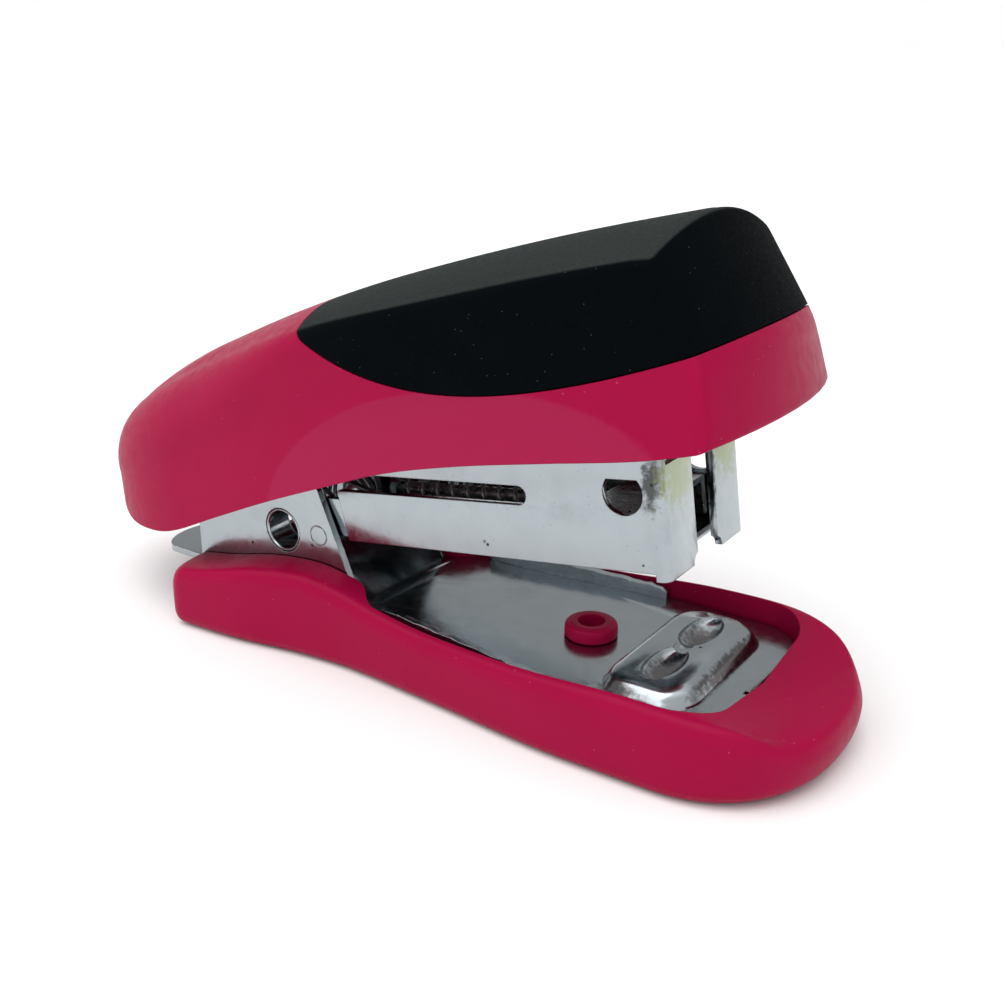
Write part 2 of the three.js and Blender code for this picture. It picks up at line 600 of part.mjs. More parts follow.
// Half of the handle's section at station a, from the lower edge up to the crest, as [y, z] points.
function halfSection(a, inset) {
  const heel = roundEnd(HANDLE_HEEL + HEEL_ROUND - a, HEEL_ROUND - inset, 2.25);
  const crest = handleCrest(a) - inset;
  const lower = Math.min(handleLower(a), crest - 0.02);
  const wide = Math.max(0.02, (handleWide(a) - inset) * heel);
  const crown = Math.min(crownHeight(a), (crest - lower) * 0.3);
  const shoulder = crest - crown;
  const room = Math.min(shoulder - lower, wide);
  const radius = Math.max(0.01, Math.min(shoulderRadius(a), room * 0.9));
  const lean = (z) => Math.max(0.01, wide - Math.min(wide * 0.3, sideLean(z - lower)));
  const points = [];
  const sideTop = shoulder - radius;
  for (let i = 0; i <= 4; i += 1) {
    const z = lower + (i / 4) * (sideTop - lower);
    points.push([lean(z), z]);
  }
  const corner = [Math.max(0.005, lean(sideTop) - radius), sideTop];
  for (let i = 1; i <= 5; i += 1) {
    const angle = radians(i * 15);
    points.push([corner[0] + radius * Math.cos(angle), corner[1] + radius * Math.sin(angle)]);
  }
  const [edgeY, edgeZ] = points.at(-1);
  for (let i = 1; i <= 4; i += 1) {
    const t = i / 4;
    points.push([edgeY * (1 - t), edgeZ + (crest - edgeZ) * (1 - (1 - t) * (1 - t))]);
  }
  return points;
}

// The whole section as a ring, anticlockwise seen from the front, closed along the lower edge.
function sectionRing(a, inset, dropBelow) {
  const half = halfSection(a, inset);
  const left = half.map(([y, z]) => [y, z]);
  const right = half.slice(0, -1).reverse().map(([y, z]) => [-y, z]);
  if (dropBelow > 0) {
    left[0] = [left[0][0], left[0][1] - dropBelow];
    right[right.length - 1] = [right.at(-1)[0], right.at(-1)[1] - dropBelow];
  }
  const closing = [-0.5, 0, 0.5].map((share) => [share * left[0][0], left[0][1]]);
  return [...left, ...right, ...closing];
}

// x of the front face at a height and a distance from the centre line.
function frontFace(y, z, inset) {
  const rise = z - 9.3;
  const leanBack = LEAN_SLOPE * (rise + Math.hypot(rise, LEAN_START)) / 2;
  return HANDLE_NOSE - inset - leanBack + FRONT_BOW * (1 - (y / HANDLE_WIDE) ** 2);
}

// The handle's solid form, drawn in by `inset`; `dropBelow` lets a cutting form run out below.
function handleForm(inset, dropBelow = 0) {
  const rings = [];
  const place = (ring, a) => ring.map(([y, z]) => [a, y, z]);
  const heel = HANDLE_HEEL + inset;
  const heelStations = 10;
  for (let i = 0; i <= heelStations; i += 1) {
    const a = heel + HEEL_ROUND * (1 - Math.cos((i / heelStations) * Math.PI / 2));
    rings.push(place(sectionRing(a, inset, dropBelow), a));
  }
  const bodyStations = 9;
  const bodyStart = heel + HEEL_ROUND;
  const bodyEnd = 41;
  for (let i = 1; i <= bodyStations; i += 1) {
    const a = bodyStart + (i / bodyStations) * (bodyEnd - bodyStart);
    rings.push(place(sectionRing(a, inset, dropBelow), a));
  }
  const middleZ = 11.5;
  const nose = (share, scale, back) =>
    sectionRing(bodyEnd + share * (HANDLE_NOSE - bodyEnd), inset, dropBelow).map(([y, z]) => {
      const [sy, sz] = [y * scale, middleZ + (z - middleZ) * scale];
      const face = frontFace(sy, sz, inset) - back;
      return [bodyEnd + share * (face - bodyEnd), sy, sz];
    });
  rings.push(nose(0.5, 1, 0), nose(1, 1, 0.7), nose(1, 0.992, 0.3), nose(1, 0.975, 0.08), nose(1, 0.94, 0),
    nose(1, 0.6, 0), nose(1, 0, 0));
  const tip = rings[0];
  const middle = tip.map(() => [tip[0][0], 0, (handleLower(heel) + handleCrest(heel)) / 2 - inset / 2]);
  return skinRings([middle, ...rings]);
}

// Everything above the parting line between the pink shell and the black insert.
function aboveParting(drop) {
  const region = new THREE.Shape();
  region.moveTo(9.6 - drop, 24);
  region.lineTo(10.4 - drop, 20.2);
  region.bezierCurveTo(17 - drop, 11.9 - drop, 29.5, 7.35 - drop, 56, 11.1 - drop);
  region.lineTo(56, 24);
  region.closePath();
  return sidePrism(region, -16, 16, 24);
}

const handleInsert = () => handleForm(0).subtract(handleForm(INSERT_SKIN)).intersect(aboveParting(0));

// A lens-shaped hollow for the thumb on each side.
function thumbScallop(side) {
  const geometry = new THREE.SphereGeometry(1, 32, 16);
  geometry.scale(26.4, 0.8, 10.3);
  geometry.rotateX(radians(side * 10.6));
  geometry.translate(20.6, side * 12.8, 1.4);
  return solid(geometry);
}

function handleShell() {
  const seat = handleForm(-0.8).subtract(handleForm(INSERT_SKIN + 0.15));
  const insertRoom = seat.intersect(aboveParting(0.12));
  const hollow = handleForm(SHELL_SKIN, 14);
  const bosses = SCREW_X.map((x) => cylinder(2.2, 9, 'z', [x, 0, FRAME_WEB_Z + SHEET + 0.05 + 4.5], 24));
  const pilots = SCREW_X.map((x) => cylinder(1.05, 9, 'z', [x, 0, FRAME_WEB_Z + 2.5], 20));
  const body = cutAll(handleForm(0), [hollow, insertRoom]);
  const boss = joinAll(bosses).intersect(handleForm(SHELL_SKIN - 0.4));
  return cutAll(body.add(boss), [...pilots, thumbScallop(-1), thumbScallop(1)]);
}

const SCREW_X = [14, 33];
const FRAME_HALF = 6.9;

function handleFrame() {
  const front = BLADE_REAR - 0.25;
  const web = block(-2.5, front, -FRAME_HALF, FRAME_HALF, FRAME_WEB_Z, FRAME_WEB_Z + SHEET);
  const flangeTop = FRAME_WEB_Z + 1.45;
  const flanges = mirroredBlocks(-2.5, front, FRAME_HALF - SHEET, FRAME_HALF, FRAME_WEB_Z, flangeTop);
  const armShape = new THREE.Shape();
  armShape.moveTo(3.0, FRAME_WEB_Z + 0.3);
  armShape.lineTo(-2.5, FRAME_WEB_Z + 0.3);
  armShape.lineTo(-3.2, 0);
  armShape.absarc(0, 0, 3.2, Math.PI, Math.PI * 2, false);
  armShape.lineTo(3.2, 3);
  armShape.closePath();
  const arms = [sidePrism(armShape, -5.4, -4.8, 16), sidePrism(armShape, 4.8, 5.4, 16)];
  const nose = block(front - 0.6, front, -5.2, 5.2, FRAME_WEB_Z, BLADE_TOP);
  const pivotHole = cylinder(EYELET_RADIUS + 0.1, 20, 'y', [0, 0, 0], 40);
  const screwHoles = SCREW_X.map((x) => cylinder(1.25, 4, 'z', [x, 0, FRAME_WEB_Z], 20));
  const rivetHoles = driverRivetHoles();
  return cutAll(joinAll([web, ...flanges, ...arms, nose]), [pivotHole, ...screwHoles, ...rivetHoles]);
}

const BLADE_RIVET_Y = 3;
const BLADE_RIVET_Z = 13.0;
const BLADE_TOP = 14.4;
const BLADE_UNDER = 1.0;
const BLADE_REAR = 41.03;
const BLADE_SHEET = 0.5;

function driverBlade() {
  const blade = block(BLADE_REAR, BLADE_REAR + BLADE_SHEET, -6.1, 6.1, BLADE_UNDER, BLADE_TOP);
  const rivetHoles = driverRivetHoles();
  return cutAll(blade, rivetHoles);
}

const driverRivetHoles = () => [-1, 1].map((side) =>
  cylinder(0.8, 4, 'x', [BLADE_REAR, side * BLADE_RIVET_Y, BLADE_RIVET_Z], 16));

function driverRivet(side) {
  const y = side * BLADE_RIVET_Y;
  const shank = cylinder(0.74, 2.2, 'x', [BLADE_REAR - 0.2, y, BLADE_RIVET_Z], 16);
  const head = cylinder(1.15, 0.35, 'x', [BLADE_REAR + BLADE_SHEET + 0.22, y, BLADE_RIVET_Z], 16);
  const tail = cylinder(1.15, 0.35, 'x', [BLADE_REAR - 1.1, y, BLADE_RIVET_Z], 16);
  return joinAll([shank, head, tail]);
}

function frameScrew(x) {
  const shank = cylinder(0.95, 5.4, 'z', [x, 0, FRAME_WEB_Z + 2.4], 20);
  const head = cylinder(1.9, 0.9, 'z', [x, 0, FRAME_WEB_Z - 0.5], 24, 2.1);
  const slots = [block(x - 1.2, x + 1.2, -0.25, 0.25, FRAME_WEB_Z - 1.2, FRAME_WEB_Z - 0.45),
    block(x - 0.25, x + 0.25, -1.2, 1.2, FRAME_WEB_Z - 1.2, FRAME_WEB_Z - 0.45)];
  return cutAll(shank.add(head), slots);
}

// ---------------------------------------------------------------- assembly

const stapler = new THREE.Group();
const base = new THREE.Group();
const magazine = new THREE.Group();
const handle = new THREE.Group();
base.position.x = -PIVOT.x;
stapler.add(base);
for (const [group, tilt] of [[magazine, CASE_TILT], [handle, HANDLE_TILT]]) {
  group.position.copy(PIVOT);
  group.rotation.y = -radians(tilt);
  base.add(group);
}

function place(group, name, body, material) {
  const mesh = new THREE.Mesh(toGeometry(body), material());
  mesh.name = name;
  group.add(mesh);
}

place(base, 'base_shell', baseShell(), pinkPlastic);
place(base, 'base_pad', basePad(), rubberBlack);
place(base, 'base_plate', basePlate(), chromedSteel);
place(base, 'pivot_eyelet_right', pivotEyelet(-1), chromedSteel);
place(base, 'pivot_eyelet_left', pivotEyelet(1), chromedSteel);
place(base, 'lift_spring', liftSpring(), springSteel);
place(base, 'handle_spring', handleSpring(), springSteel);

place(magazine, 'magazine_case', magazineCase(), chromedSteel);
place(magazine, 'staple_rail', stapleRail(), chromedSteel);
place(magazine, 'rail_rivet_rear', railRivet(RAIL_RIVETS[0]), springSteel);
place(magazine, 'rail_rivet_front', railRivet(RAIL_RIVETS[1]), springSteel);
place(magazine, 'staple_pusher', staplePusher(), springSteel);
place(magazine, 'guide_rod', guideRod(), springSteel);
place(magazine, 'pusher_spring', pusherSpring(), springSteel);

place(handle, 'handle_shell', handleShell(), pinkPlastic);
place(handle, 'handle_insert', handleInsert(), softBlack);
place(handle, 'handle_frame', handleFrame(), chromedSteel);
place(handle, 'driver_blade', driverBlade(), chromedSteel);
place(handle, 'driver_rivet_right', driverRivet(-1), springSteel);
place(handle, 'driver_rivet_left', driverRivet(1), springSteel);
place(handle, 'frame_screw_rear', frameScrew(SCREW_X[0]), springSteel);
place(handle, 'frame_screw_front', frameScrew(SCREW_X[1]), springSteel);

export default stapler;
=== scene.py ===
"""Mini stapler: fine surfaces, procedural materials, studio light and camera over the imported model.

Pieces are drawn in millimetres in one of three local frames, as the real parts are:
  base      x counted from 1.6 mm in front of the base's rear end, z up from the table
  magazine  origin on the pivot, x along the case, tilted nose up
  handle    origin on the pivot, x along the handle, tilted further nose up
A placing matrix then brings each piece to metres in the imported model's frame.
"""
import json
import math

import bmesh
import bpy
import numpy as np
from mathutils import Matrix, Vector


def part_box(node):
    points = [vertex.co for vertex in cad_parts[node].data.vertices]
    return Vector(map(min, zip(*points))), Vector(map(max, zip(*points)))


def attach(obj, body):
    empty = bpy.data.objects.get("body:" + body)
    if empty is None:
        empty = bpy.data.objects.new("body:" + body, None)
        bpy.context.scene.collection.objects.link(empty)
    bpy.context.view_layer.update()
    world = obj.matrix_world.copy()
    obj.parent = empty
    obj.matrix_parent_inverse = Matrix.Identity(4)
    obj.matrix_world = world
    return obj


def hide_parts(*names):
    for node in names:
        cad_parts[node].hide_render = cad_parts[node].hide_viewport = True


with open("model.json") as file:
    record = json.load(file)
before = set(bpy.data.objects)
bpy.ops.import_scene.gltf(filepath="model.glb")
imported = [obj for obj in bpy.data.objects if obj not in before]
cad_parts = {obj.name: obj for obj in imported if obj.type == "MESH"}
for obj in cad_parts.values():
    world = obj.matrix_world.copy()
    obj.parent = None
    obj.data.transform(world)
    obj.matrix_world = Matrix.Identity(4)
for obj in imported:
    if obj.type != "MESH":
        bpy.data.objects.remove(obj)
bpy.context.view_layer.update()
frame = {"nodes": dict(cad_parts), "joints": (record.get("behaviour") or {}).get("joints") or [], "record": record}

# ------------------------------------------------------------------ values taken from the frame

MM = 0.001
joints = {joint["name"]: joint for joint in frame["joints"]}


def box_mm(node):
    """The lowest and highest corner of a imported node, in millimetres."""
    low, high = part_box(node)
    return low / MM, high / MM


PIVOT = Vector(joints["magazine_hinge"]["pos_m"]) / MM
SLIDE = joints["pusher_slide"]["axis"]
CASE_TILT = math.atan2(SLIDE[2], SLIDE[0])
HANDLE_OPENING = math.radians(9.0)  # between the handle and the case at rest
HANDLE_TILT = CASE_TILT + HANDLE_OPENING

BASE_REAR = -1.6
base_shift = box_mm("base_shell")[0].x - BASE_REAR
BASE_FRONT = box_mm("base_shell")[1].x - base_shift
FOOT_HEIGHT = box_mm("base_shell")[0].z
PIVOT_X = PIVOT.x - base_shift
PIVOT_Z = PIVOT.z
EYELET_LOW, EYELET_HIGH = box_mm("pivot_eyelet_left")
EAR_OUTER = EYELET_HIGH.y
EYELET_INNER_END = EYELET_LOW.y
EYELET_RADIUS = (EYELET_HIGH.x - EYELET_LOW.x) / 2


def placing(origin, tilt):
    """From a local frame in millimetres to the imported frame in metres."""
    turn = Matrix.Rotation(-tilt, 4, "Y")
    return Matrix.Scale(MM, 4) @ Matrix.Translation(origin) @ turn


BASE = placing(Vector((base_shift, 0, 0)), 0)
MAGAZINE = placing(PIVOT, CASE_TILT)
HANDLE = placing(PIVOT, HANDLE_TILT)

# ------------------------------------------------------------------ driving dimensions (mm)

SHEET = 0.7
EAR_INNER = EAR_OUTER - SHEET
FLOOR_TOP = 5.5
FLOOR_UNDER = FLOOR_TOP - SHEET
PLATE_FRONT = 58.7
PLATE_INSET = 1.5
EAR_FOOT = 20.8
POST_X = 42.26
POST_RADIUS = 1.85
POST_BORE = 1.27
NOSE_START = 54.4
REAR_ROUND = 3.6
WAIST = (25.0, 44.6)
TONGUE_TOP = 3.45
FRONT_TOP = 5.8

CASE_REAR = 8.6
CASE_FRONT = 42.56
CASE_UNDER = -0.34
CASE_TOP = 9.6
CASE_FLOOR_TOP = CASE_UNDER + SHEET
CASE_BEND = 0.8
LIP_GAP = 3.84
LIP_SHEET = 0.65
LIP_DROP = 0.65
ARM_OUTER = 6.2
ARM_SHEET = 0.6
RAIL_RIVETS = (12.4, 38.4)
ROD_Z = 2.9
COIL_RADIUS = 1.3

HANDLE_HEEL = -26.2
HANDLE_NOSE = 50.2
HANDLE_WIDE = 12.0
FRONT_BOW = 2.1
LEAN_SLOPE = 0.30
LEAN_START = 0.8
LEAN_HEIGHT = 9.3
SIDE_BEND = 6.7
INSERT_SKIN = 1.3
SHELL_SKIN = 2.7
FRAME_WEB_Z = 11.0
SCREW_X = (14, 33)
HEEL_ROUND = 17.5

# ------------------------------------------------------------------ curves


def smooth_step(t):
    """0 to 1 with level ends."""
    t = np.clip(t, 0, 1)
    return t * t * (3 - 2 * t)


def through(knots):
    """A smooth curve through (position, value) knots, as a function of position."""
    x, value = np.array(knots, float).T
    last = len(x) - 1
    before = np.maximum(np.arange(last + 1) - 1, 0)
    after = np.minimum(np.arange(last + 1) + 1, last)
    slope = (value[after] - value[before]) / (x[after] - x[before])

    def at(position):
        p = np.clip(position, x[0], x[-1])
        i = np.clip(np.searchsorted(x, p, side="right") - 1, 0, last - 1)
        span = x[i + 1] - x[i]
        t = (p - x[i]) / span
        rise = t * t * (3 - 2 * t)
        bend = span * slope[i] * t * (1 - t) ** 2 - span * slope[i + 1] * t * t * (1 - t)
        return value[i] * (1 - rise) + value[i + 1] * rise + bend

    return at


def round_end(s, depth, power):
    """How much of its full width a superelliptic end keeps at distance s into its depth."""
    share = np.clip(np.asarray(s, float) / depth, 0, 1)
    return (1 - share**power) ** (1 / power)


def arc(cx, cy, rx, start, end, steps=12, ry=None):
    """Points on a circle or ellipse from start to end, in degrees."""
    ry = rx if ry is None else ry
    turn = [math.radians(start + (end - start) * k / steps) for k in range(steps + 1)]
    return [(cx + rx * math.cos(a), cy + ry * math.sin(a)) for a in turn]


def bezier(p0, p1, p2, p3, steps=16):
    """Points on a cubic curve, without its first one."""
    made = []
    for k in range(1, steps + 1):
        t = k / steps
        weights = ((1 - t) ** 3, 3 * t * (1 - t) ** 2, 3 * t * t * (1 - t), t**3)
        made.append(tuple(sum(w * p[i] for w, p in zip(weights, (p0, p1, p2, p3))) for i in (0, 1)))
    return made


def rings_between(rings, steps):
    """More rings between those given, on smooth curves through them."""
    rings = np.array(rings, float)
    made = []
    for i in range(len(rings) - 1):
        before = rings[max(0, i - 1)]
        after = rings[min(len(rings) - 1, i + 2)]
        a, b = rings[i], rings[i + 1]
        for k in range(steps):
            t = k / steps
            rise = t * t * (3 - 2 * t)
            leave = (b - before) / 2 * t * (1 - t) ** 2
            arrive = (after - a) / 2 * t * t * (1 - t)
            made.append(a * (1 - rise) + b * rise + leave - arrive)
    made.append(rings[-1])
    return made


# ------------------------------------------------------------------ solids and booleans (mm)


def solid(vertices, faces):
    """A closed mesh object, with doubles joined and faces turned outwards."""
    mesh = bpy.data.meshes.new("solid")
    mesh.from_pydata([tuple(map(float, v)) for v in vertices], [], faces)
    work = bmesh.new()
    work.from_mesh(mesh)
    bmesh.ops.remove_doubles(work, verts=work.verts, dist=1e-4)
    bmesh.ops.recalc_face_normals(work, faces=work.faces)
    work.to_mesh(mesh)
    work.free()
    made = bpy.data.objects.new("solid", mesh)
    bpy.context.scene.collection.objects.link(made)
    return made


def skin_rings(rings):
    """A solid through rings of the same number of points; the end rings close on a point or line."""
    rings = np.array(rings, float)
    count = rings.shape[1]
    faces = []
    for r in range(len(rings) - 1):
        for i in range(count):
            j = (i + 1) % count
            faces.append((r * count + i, r * count + j, (r + 1) * count + j, (r + 1) * count + i))
    return solid(rings.reshape(-1, 3), faces)


def prism(low, high):
    """A solid between two outlines with the same number of 3-D points."""
    n = len(low)
    sides = [(i, (i + 1) % n, n + (i + 1) % n, n + i) for i in range(n)]
    return solid([*low, *high], [tuple(range(n)), tuple(range(n, 2 * n)), *sides])


def side_prism(points, y0, y1):
    """An XZ outline carried along Y."""
    return prism([(x, y0, z) for x, z in points], [(x, y1, z) for x, z in points])


def plan_prism(points, z0, z1):
    """An XY outline carried up along Z."""
    return prism([(x, y, z0) for x, y in points], [(x, y, z1) for x, y in points])


def block(x0, x1, y0, y1, z0, z1):
    """A box, given by its two ends along each axis."""
    return plan_prism([(x0, y0), (x1, y0), (x1, y1), (x0, y1)], z0, z1)


def cylinder(radius, length, along, centre, sides=64):
    """A round bar along an axis, centred on a point."""
    order = {"x": (2, 0, 1), "y": (1, 2, 0), "z": (0, 1, 2)}[along]
    ends = []
    for height in (-length / 2, length / 2):
        ring = [(x, y, height) for x, y in arc(0, 0, radius, 0, 360, sides)[:-1]]
        ends.append([tuple(centre[i] + p[order[i]] for i in range(3)) for p in ring])
    return prism(*ends)


def ellipsoid(radii, centre, tilt_x=0.0, around=64, rows=40):
    """An ellipsoid, turned by tilt_x degrees about the X axis."""
    turn = Matrix.Rotation(math.radians(tilt_x), 3, "X")
    rings = []
    for r in range(rows + 1):
        polar = math.pi * r / rows
        ring = [
            Vector((math.cos(polar), math.sin(polar) * y, math.sin(polar) * z))
            for y, z in arc(0, 0, 1, 0, 360, around)[:-1]
        ]
        rings.append([Vector(centre) + turn @ Vector(p * r for p, r in zip(v, radii)) for v in ring])
    return skin_rings(rings)


def tube_along(points, radius):
    """A round wire along a path of points, its ends closed."""
    sides = 12
    path = np.array(points, float)
    ahead = np.gradient(path, axis=0)
    ahead /= np.linalg.norm(ahead, axis=1)[:, None]
    side = np.cross(ahead[0], (0.1, 0.3, 0.9))
    rings = []
    for centre, forward in zip(path, ahead):
        side = side - forward * side.dot(forward)
        side /= np.linalg.norm(side)
        across = np.cross(forward, side)
        ring = [centre + radius * (side * c + across * s) for c, s in arc(0, 0, 1, 0, 360, sides)[:-1]]
        rings.append(ring)
    first = [path[0]] * sides
    last = [path[-1]] * sides
    return skin_rings([first, *rings, last])


def boolean(body, others, operation):
    """body with the others joined to it, cut from it or kept in common."""
    for other in others:
        modifier = body.modifiers.new("boolean", "BOOLEAN")
        modifier.operation = operation
        modifier.object = other
        modifier.solver = "MANIFOLD"
    bpy.context.view_layer.update()
    graph = bpy.context.evaluated_depsgraph_get()
    made = bpy.data.meshes.new_from_object(body.evaluated_get(graph))
    body.modifiers.clear()
    body.data = made
    for other in others:
        bpy.data.objects.remove(other)
    return body


def join_all(bodies):
    return boolean(bodies[0], bodies[1:], "UNION")


def cut_all(body, cutters):
    return boolean(body, cutters, "DIFFERENCE")


def common(body, other):
    return boolean(body, [other], "INTERSECT")


# ------------------------------------------------------------------ finishing a piece


def soften_edges(piece, width):
    """Rolls the sharp edges of a piece of flat faces over, as tumbling does."""
    weld, flat_angle, edge_angle = 0.004, math.radians(0.6), math.radians(35)
    work = bmesh.new()
    work.from_mesh(piece.data)
    bmesh.ops.remove_doubles(work, verts=work.verts, dist=weld)
    bmesh.ops.dissolve_limit(work, angle_limit=flat_angle, verts=work.verts, edges=work.edges)
    work.to_mesh(piece.data)
    work.free()
    modifier = piece.modifiers.new("soften", "BEVEL")
    modifier.width = width
    modifier.segments = 2
    modifier.limit_method = "ANGLE"
    modifier.angle_limit = edge_angle
    modifier.use_clamp_overlap = True
    bpy.context.view_layer.update()
    graph = bpy.context.evaluated_depsgraph_get()
    made = bpy.data.meshes.new_from_object(piece.evaluated_get(graph))
    piece.modifiers.clear()
    piece.data = made
    return piece


SHARP_ANGLE = math.radians(32)  # edges that turn more than this are shaded as edges


def finish_piece(piece, name, placed, body, nodes, material):
    """Places a piece, names it, gives it its material and hands it to its body."""
    piece.name = name
    piece.data.name = name
    piece.data.transform(placed)
    piece.data.materials.clear()
    piece.data.materials.append(material)
    piece.data.shade_smooth()
    piece.data.set_sharp_from_angle(angle=SHARP_ANGLE)
    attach(piece, body)
    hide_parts(*nodes)
    return piece


# ------------------------------------------------------------------ base

base_half_width = through([
    (-1.6, 13.1), (8, 12.5), (16, 11.2), (22, 10.8), (33, 11.6), (44, 12.6), (54, 12.65), (66, 12.6),
])
side_top_line = through([
    (-1.6, 5.7), (4, 6.7), (10, 8.1), (16, 8.7), (20, 8.2), (25, 7.2), (31, 6.7), (40, 6.9), (50, 7.6),
    (57, 7.6), (62, 6.9), (66.7, 5.7),
])


def base_top(x, y):
    """Height of the base's top: rims at the sides, lower in front of the plate."""
    side = side_top_line(x)
    ahead = smooth_step((x - 55.5) / 3) * (1 - smooth_step((np.abs(y) - 7) / 4))
    front = FRONT_TOP - 0.7 * smooth_step((x - 60) / 7)
    return side + (front - side) * ahead


def base_outline(inset):
    """The base's closed outline, anticlockwise from the rear end, drawn in by inset."""
    rear, front = BASE_REAR + inset, BASE_FRONT - inset
    turn_rear = 1 - np.cos(np.linspace(0, math.pi / 2, 17))
    turn_front = 1 - np.cos(np.linspace(math.pi / 2, 0, 37)[1:])
    x = np.concatenate([
        rear + turn_rear * (BASE_REAR + REAR_ROUND - rear),
        np.linspace(BASE_REAR + REAR_ROUND, NOSE_START, 62)[1:],
        front - turn_front * (front - NOSE_START),
    ])
    at_front = round_end(x - NOSE_START, BASE_FRONT - inset - NOSE_START, 2.45)
    at_rear = round_end(BASE_REAR + REAR_ROUND - x, REAR_ROUND - inset, 3)
    half = (base_half_width(x) - inset) * np.minimum(at_front, at_rear)
    right = np.stack([x, -half], 1)
    left = np.stack([x, half], 1)[1:-1][::-1]
    return np.concatenate([right, left])


def base_form():
    """The base's outer form: its outline stacked upwards with rounded lower and upper edges."""

    def layer(inset, height, tuck=0.0):
        x, y = base_outline(inset).T
        return np.stack([x - tuck * smooth_step((x - 50) / 15), y, height(x, y)], 1)

    def centre(height):
        x = base_outline(1.6)[:, 0]
        return np.stack([x, 0 * x, height(x, 0 * x)], 1)

    def flat(z):
        return lambda x, y: 0 * x + z

    def below(drop):
        return lambda x, y: base_top(x, y) - drop

    wall = rings_between([
        layer(1.1, flat(FOOT_HEIGHT), 1.4),
        layer(0.4, flat(FOOT_HEIGHT + 0.2), 1.2),
        layer(0.1, flat(FOOT_HEIGHT + 0.7), 0.8),
        layer(0, flat(FOOT_HEIGHT + 1.5), 0.3),
        layer(0.03, below(1.9)),
        layer(0.16, below(1.0)),
        layer(0.45, below(0.35)),
        layer(0.9, below(0.06)),
        layer(1.6, below(0)),
    ], 4)
    return skin_rings([centre(flat(FOOT_HEIGHT)), *wall, centre(below(0))])


def plate_outline(grow):
    """Outline of the base plate forward of the ears, grown all round."""

    def half(x):
        return float(base_half_width(x)) - PLATE_INSET + grow

    neck = EAR_OUTER + min(grow, 0.15)
    corner = 4.4
    front = PLATE_FRONT + grow
    widening = np.linspace(25.5, 51, 22)
    start = (EAR_FOOT - 0.4, -neck)
    right = [(0.6, -neck), start]
    right += bezier(start, (22.4, -neck), (22.6, -half(24.5) + 0.6), (24.5, -half(24.5)))
    right += [(x, -half(x)) for x in widening]
    right += arc(front - corner, -half(54) + corner, corner, -90, 0, 14)
    left = [(x, -y) for x, y in reversed(right)]
    return right + left


def base_shell():
    """The moulded base with its plate recess, heat-staked post and ribbed hollow underside."""
    deck = FLOOR_UNDER - 1.6
    hollow = plan_prism(base_outline(2.6), -1, deck)
    pad_pocket = plan_prism(base_outline(1.7), -1, 1.35)
    channel = block(BASE_REAR - 2, 2, -EAR_OUTER - 0.15, EAR_OUTER + 0.15, FLOOR_UNDER - 0.05, 20)
    tongue_mouth = block(BASE_REAR - 2, 2.5, -4.8, 4.8, 2.2, FLOOR_UNDER)
    recess = plan_prism(plate_outline(0.35), FLOOR_UNDER - 0.05, 20)
    ribs = [block(x - 0.6, x + 0.6, -14, 14, 1.45, deck + 0.2) for x in (14, 28, 42, 54)]
    spine = block(3, 62, -0.6, 0.6, 1.45, deck + 0.2)
    ribbing = common(join_all([spine, *ribs]), plan_prism(base_outline(2.0), 1.4, deck + 0.3))
    shell = cut_all(base_form(), [hollow, pad_pocket, channel, recess, tongue_mouth])
    post = cylinder(POST_RADIUS, 3.4, "z", (POST_X, 0, FLOOR_UNDER + 0.4))
    shell = join_all([shell, ribbing, post, post_head()])
    return cut_all(shell, [cylinder(POST_BORE, 4, "z", (POST_X, 0, FLOOR_TOP + 1.3))])


def post_head():
    """The melted head of the post: a low ring, rounded over outside."""
    low, high, rim = FLOOR_TOP + 0.1, FLOOR_TOP + 1.35, 2.46
    profile = [(0.0, low), (rim - 0.06, low), (rim, low + 0.12), (rim - 0.02, high - 0.5)]
    profile += [(rim - 0.45 + x, high - 0.4 + z) for x, z in arc(0, 0, 0.4, 10, 90, 6)]
    profile += [(0.0, high)]
    around = [math.radians(a) for a in range(0, 360, 6)]
    rings = [[(POST_X + r * math.cos(a), r * math.sin(a), z) for a in around] for r, z in profile]
    return skin_rings(rings)


def waist_flange(side):
    """A low upturned edge that stiffens the plate's waist, a little ragged where it was sheared."""
    x = np.linspace(*WAIST, 32)
    out = side * (base_half_width(x) - PLATE_INSET)
    inner = side * (base_half_width(x) - PLATE_INSET - SHEET)
    ragged = 0.05 * np.sin(x * 2.1) + 0.04 * np.sin(x * 5.3 + side)
    ends = 0.22 * np.exp(-((x - x[0]) / 0.5) ** 2) + 0.26 * np.exp(-((x - x[-1]) / 0.4) ** 2)
    top = 7.2 - (x - WAIST[0]) * 0.031 + ragged - ends
    rings = []
    for i in range(len(x)):
        rim = top[i]
        corners = [(out[i], FLOOR_UNDER), (out[i], rim), (inner[i], rim - 0.05), (inner[i], FLOOR_UNDER)]
        rings.append([(x[i], y, z) for y, z in corners])
    first = [(x[0], (out[0] + inner[0]) / 2, FLOOR_TOP)] * 4
    last = [(x[-1], (out[-1] + inner[-1]) / 2, FLOOR_TOP)] * 4
    return skin_rings([first, *rings, last])


def ear_outline():
    """One ear: rear edge upright, round top, front edge sloping down and forward."""
    rear = [(-1.0, FLOOR_UNDER), (-1.0, 9.2)]
    back = bezier(rear[-1], (-0.73, 14.13), (1.93, 16.67), (7.0, 16.8))
    front = bezier((14.6, 16.8), (15.33, 16.8), (15.8, 16.53), (16.0, 16.0), 6)
    return rear + back + [(14.6, 16.8)] + front + [(20.0, 6.6), (EAR_FOOT, FLOOR_UNDER)]


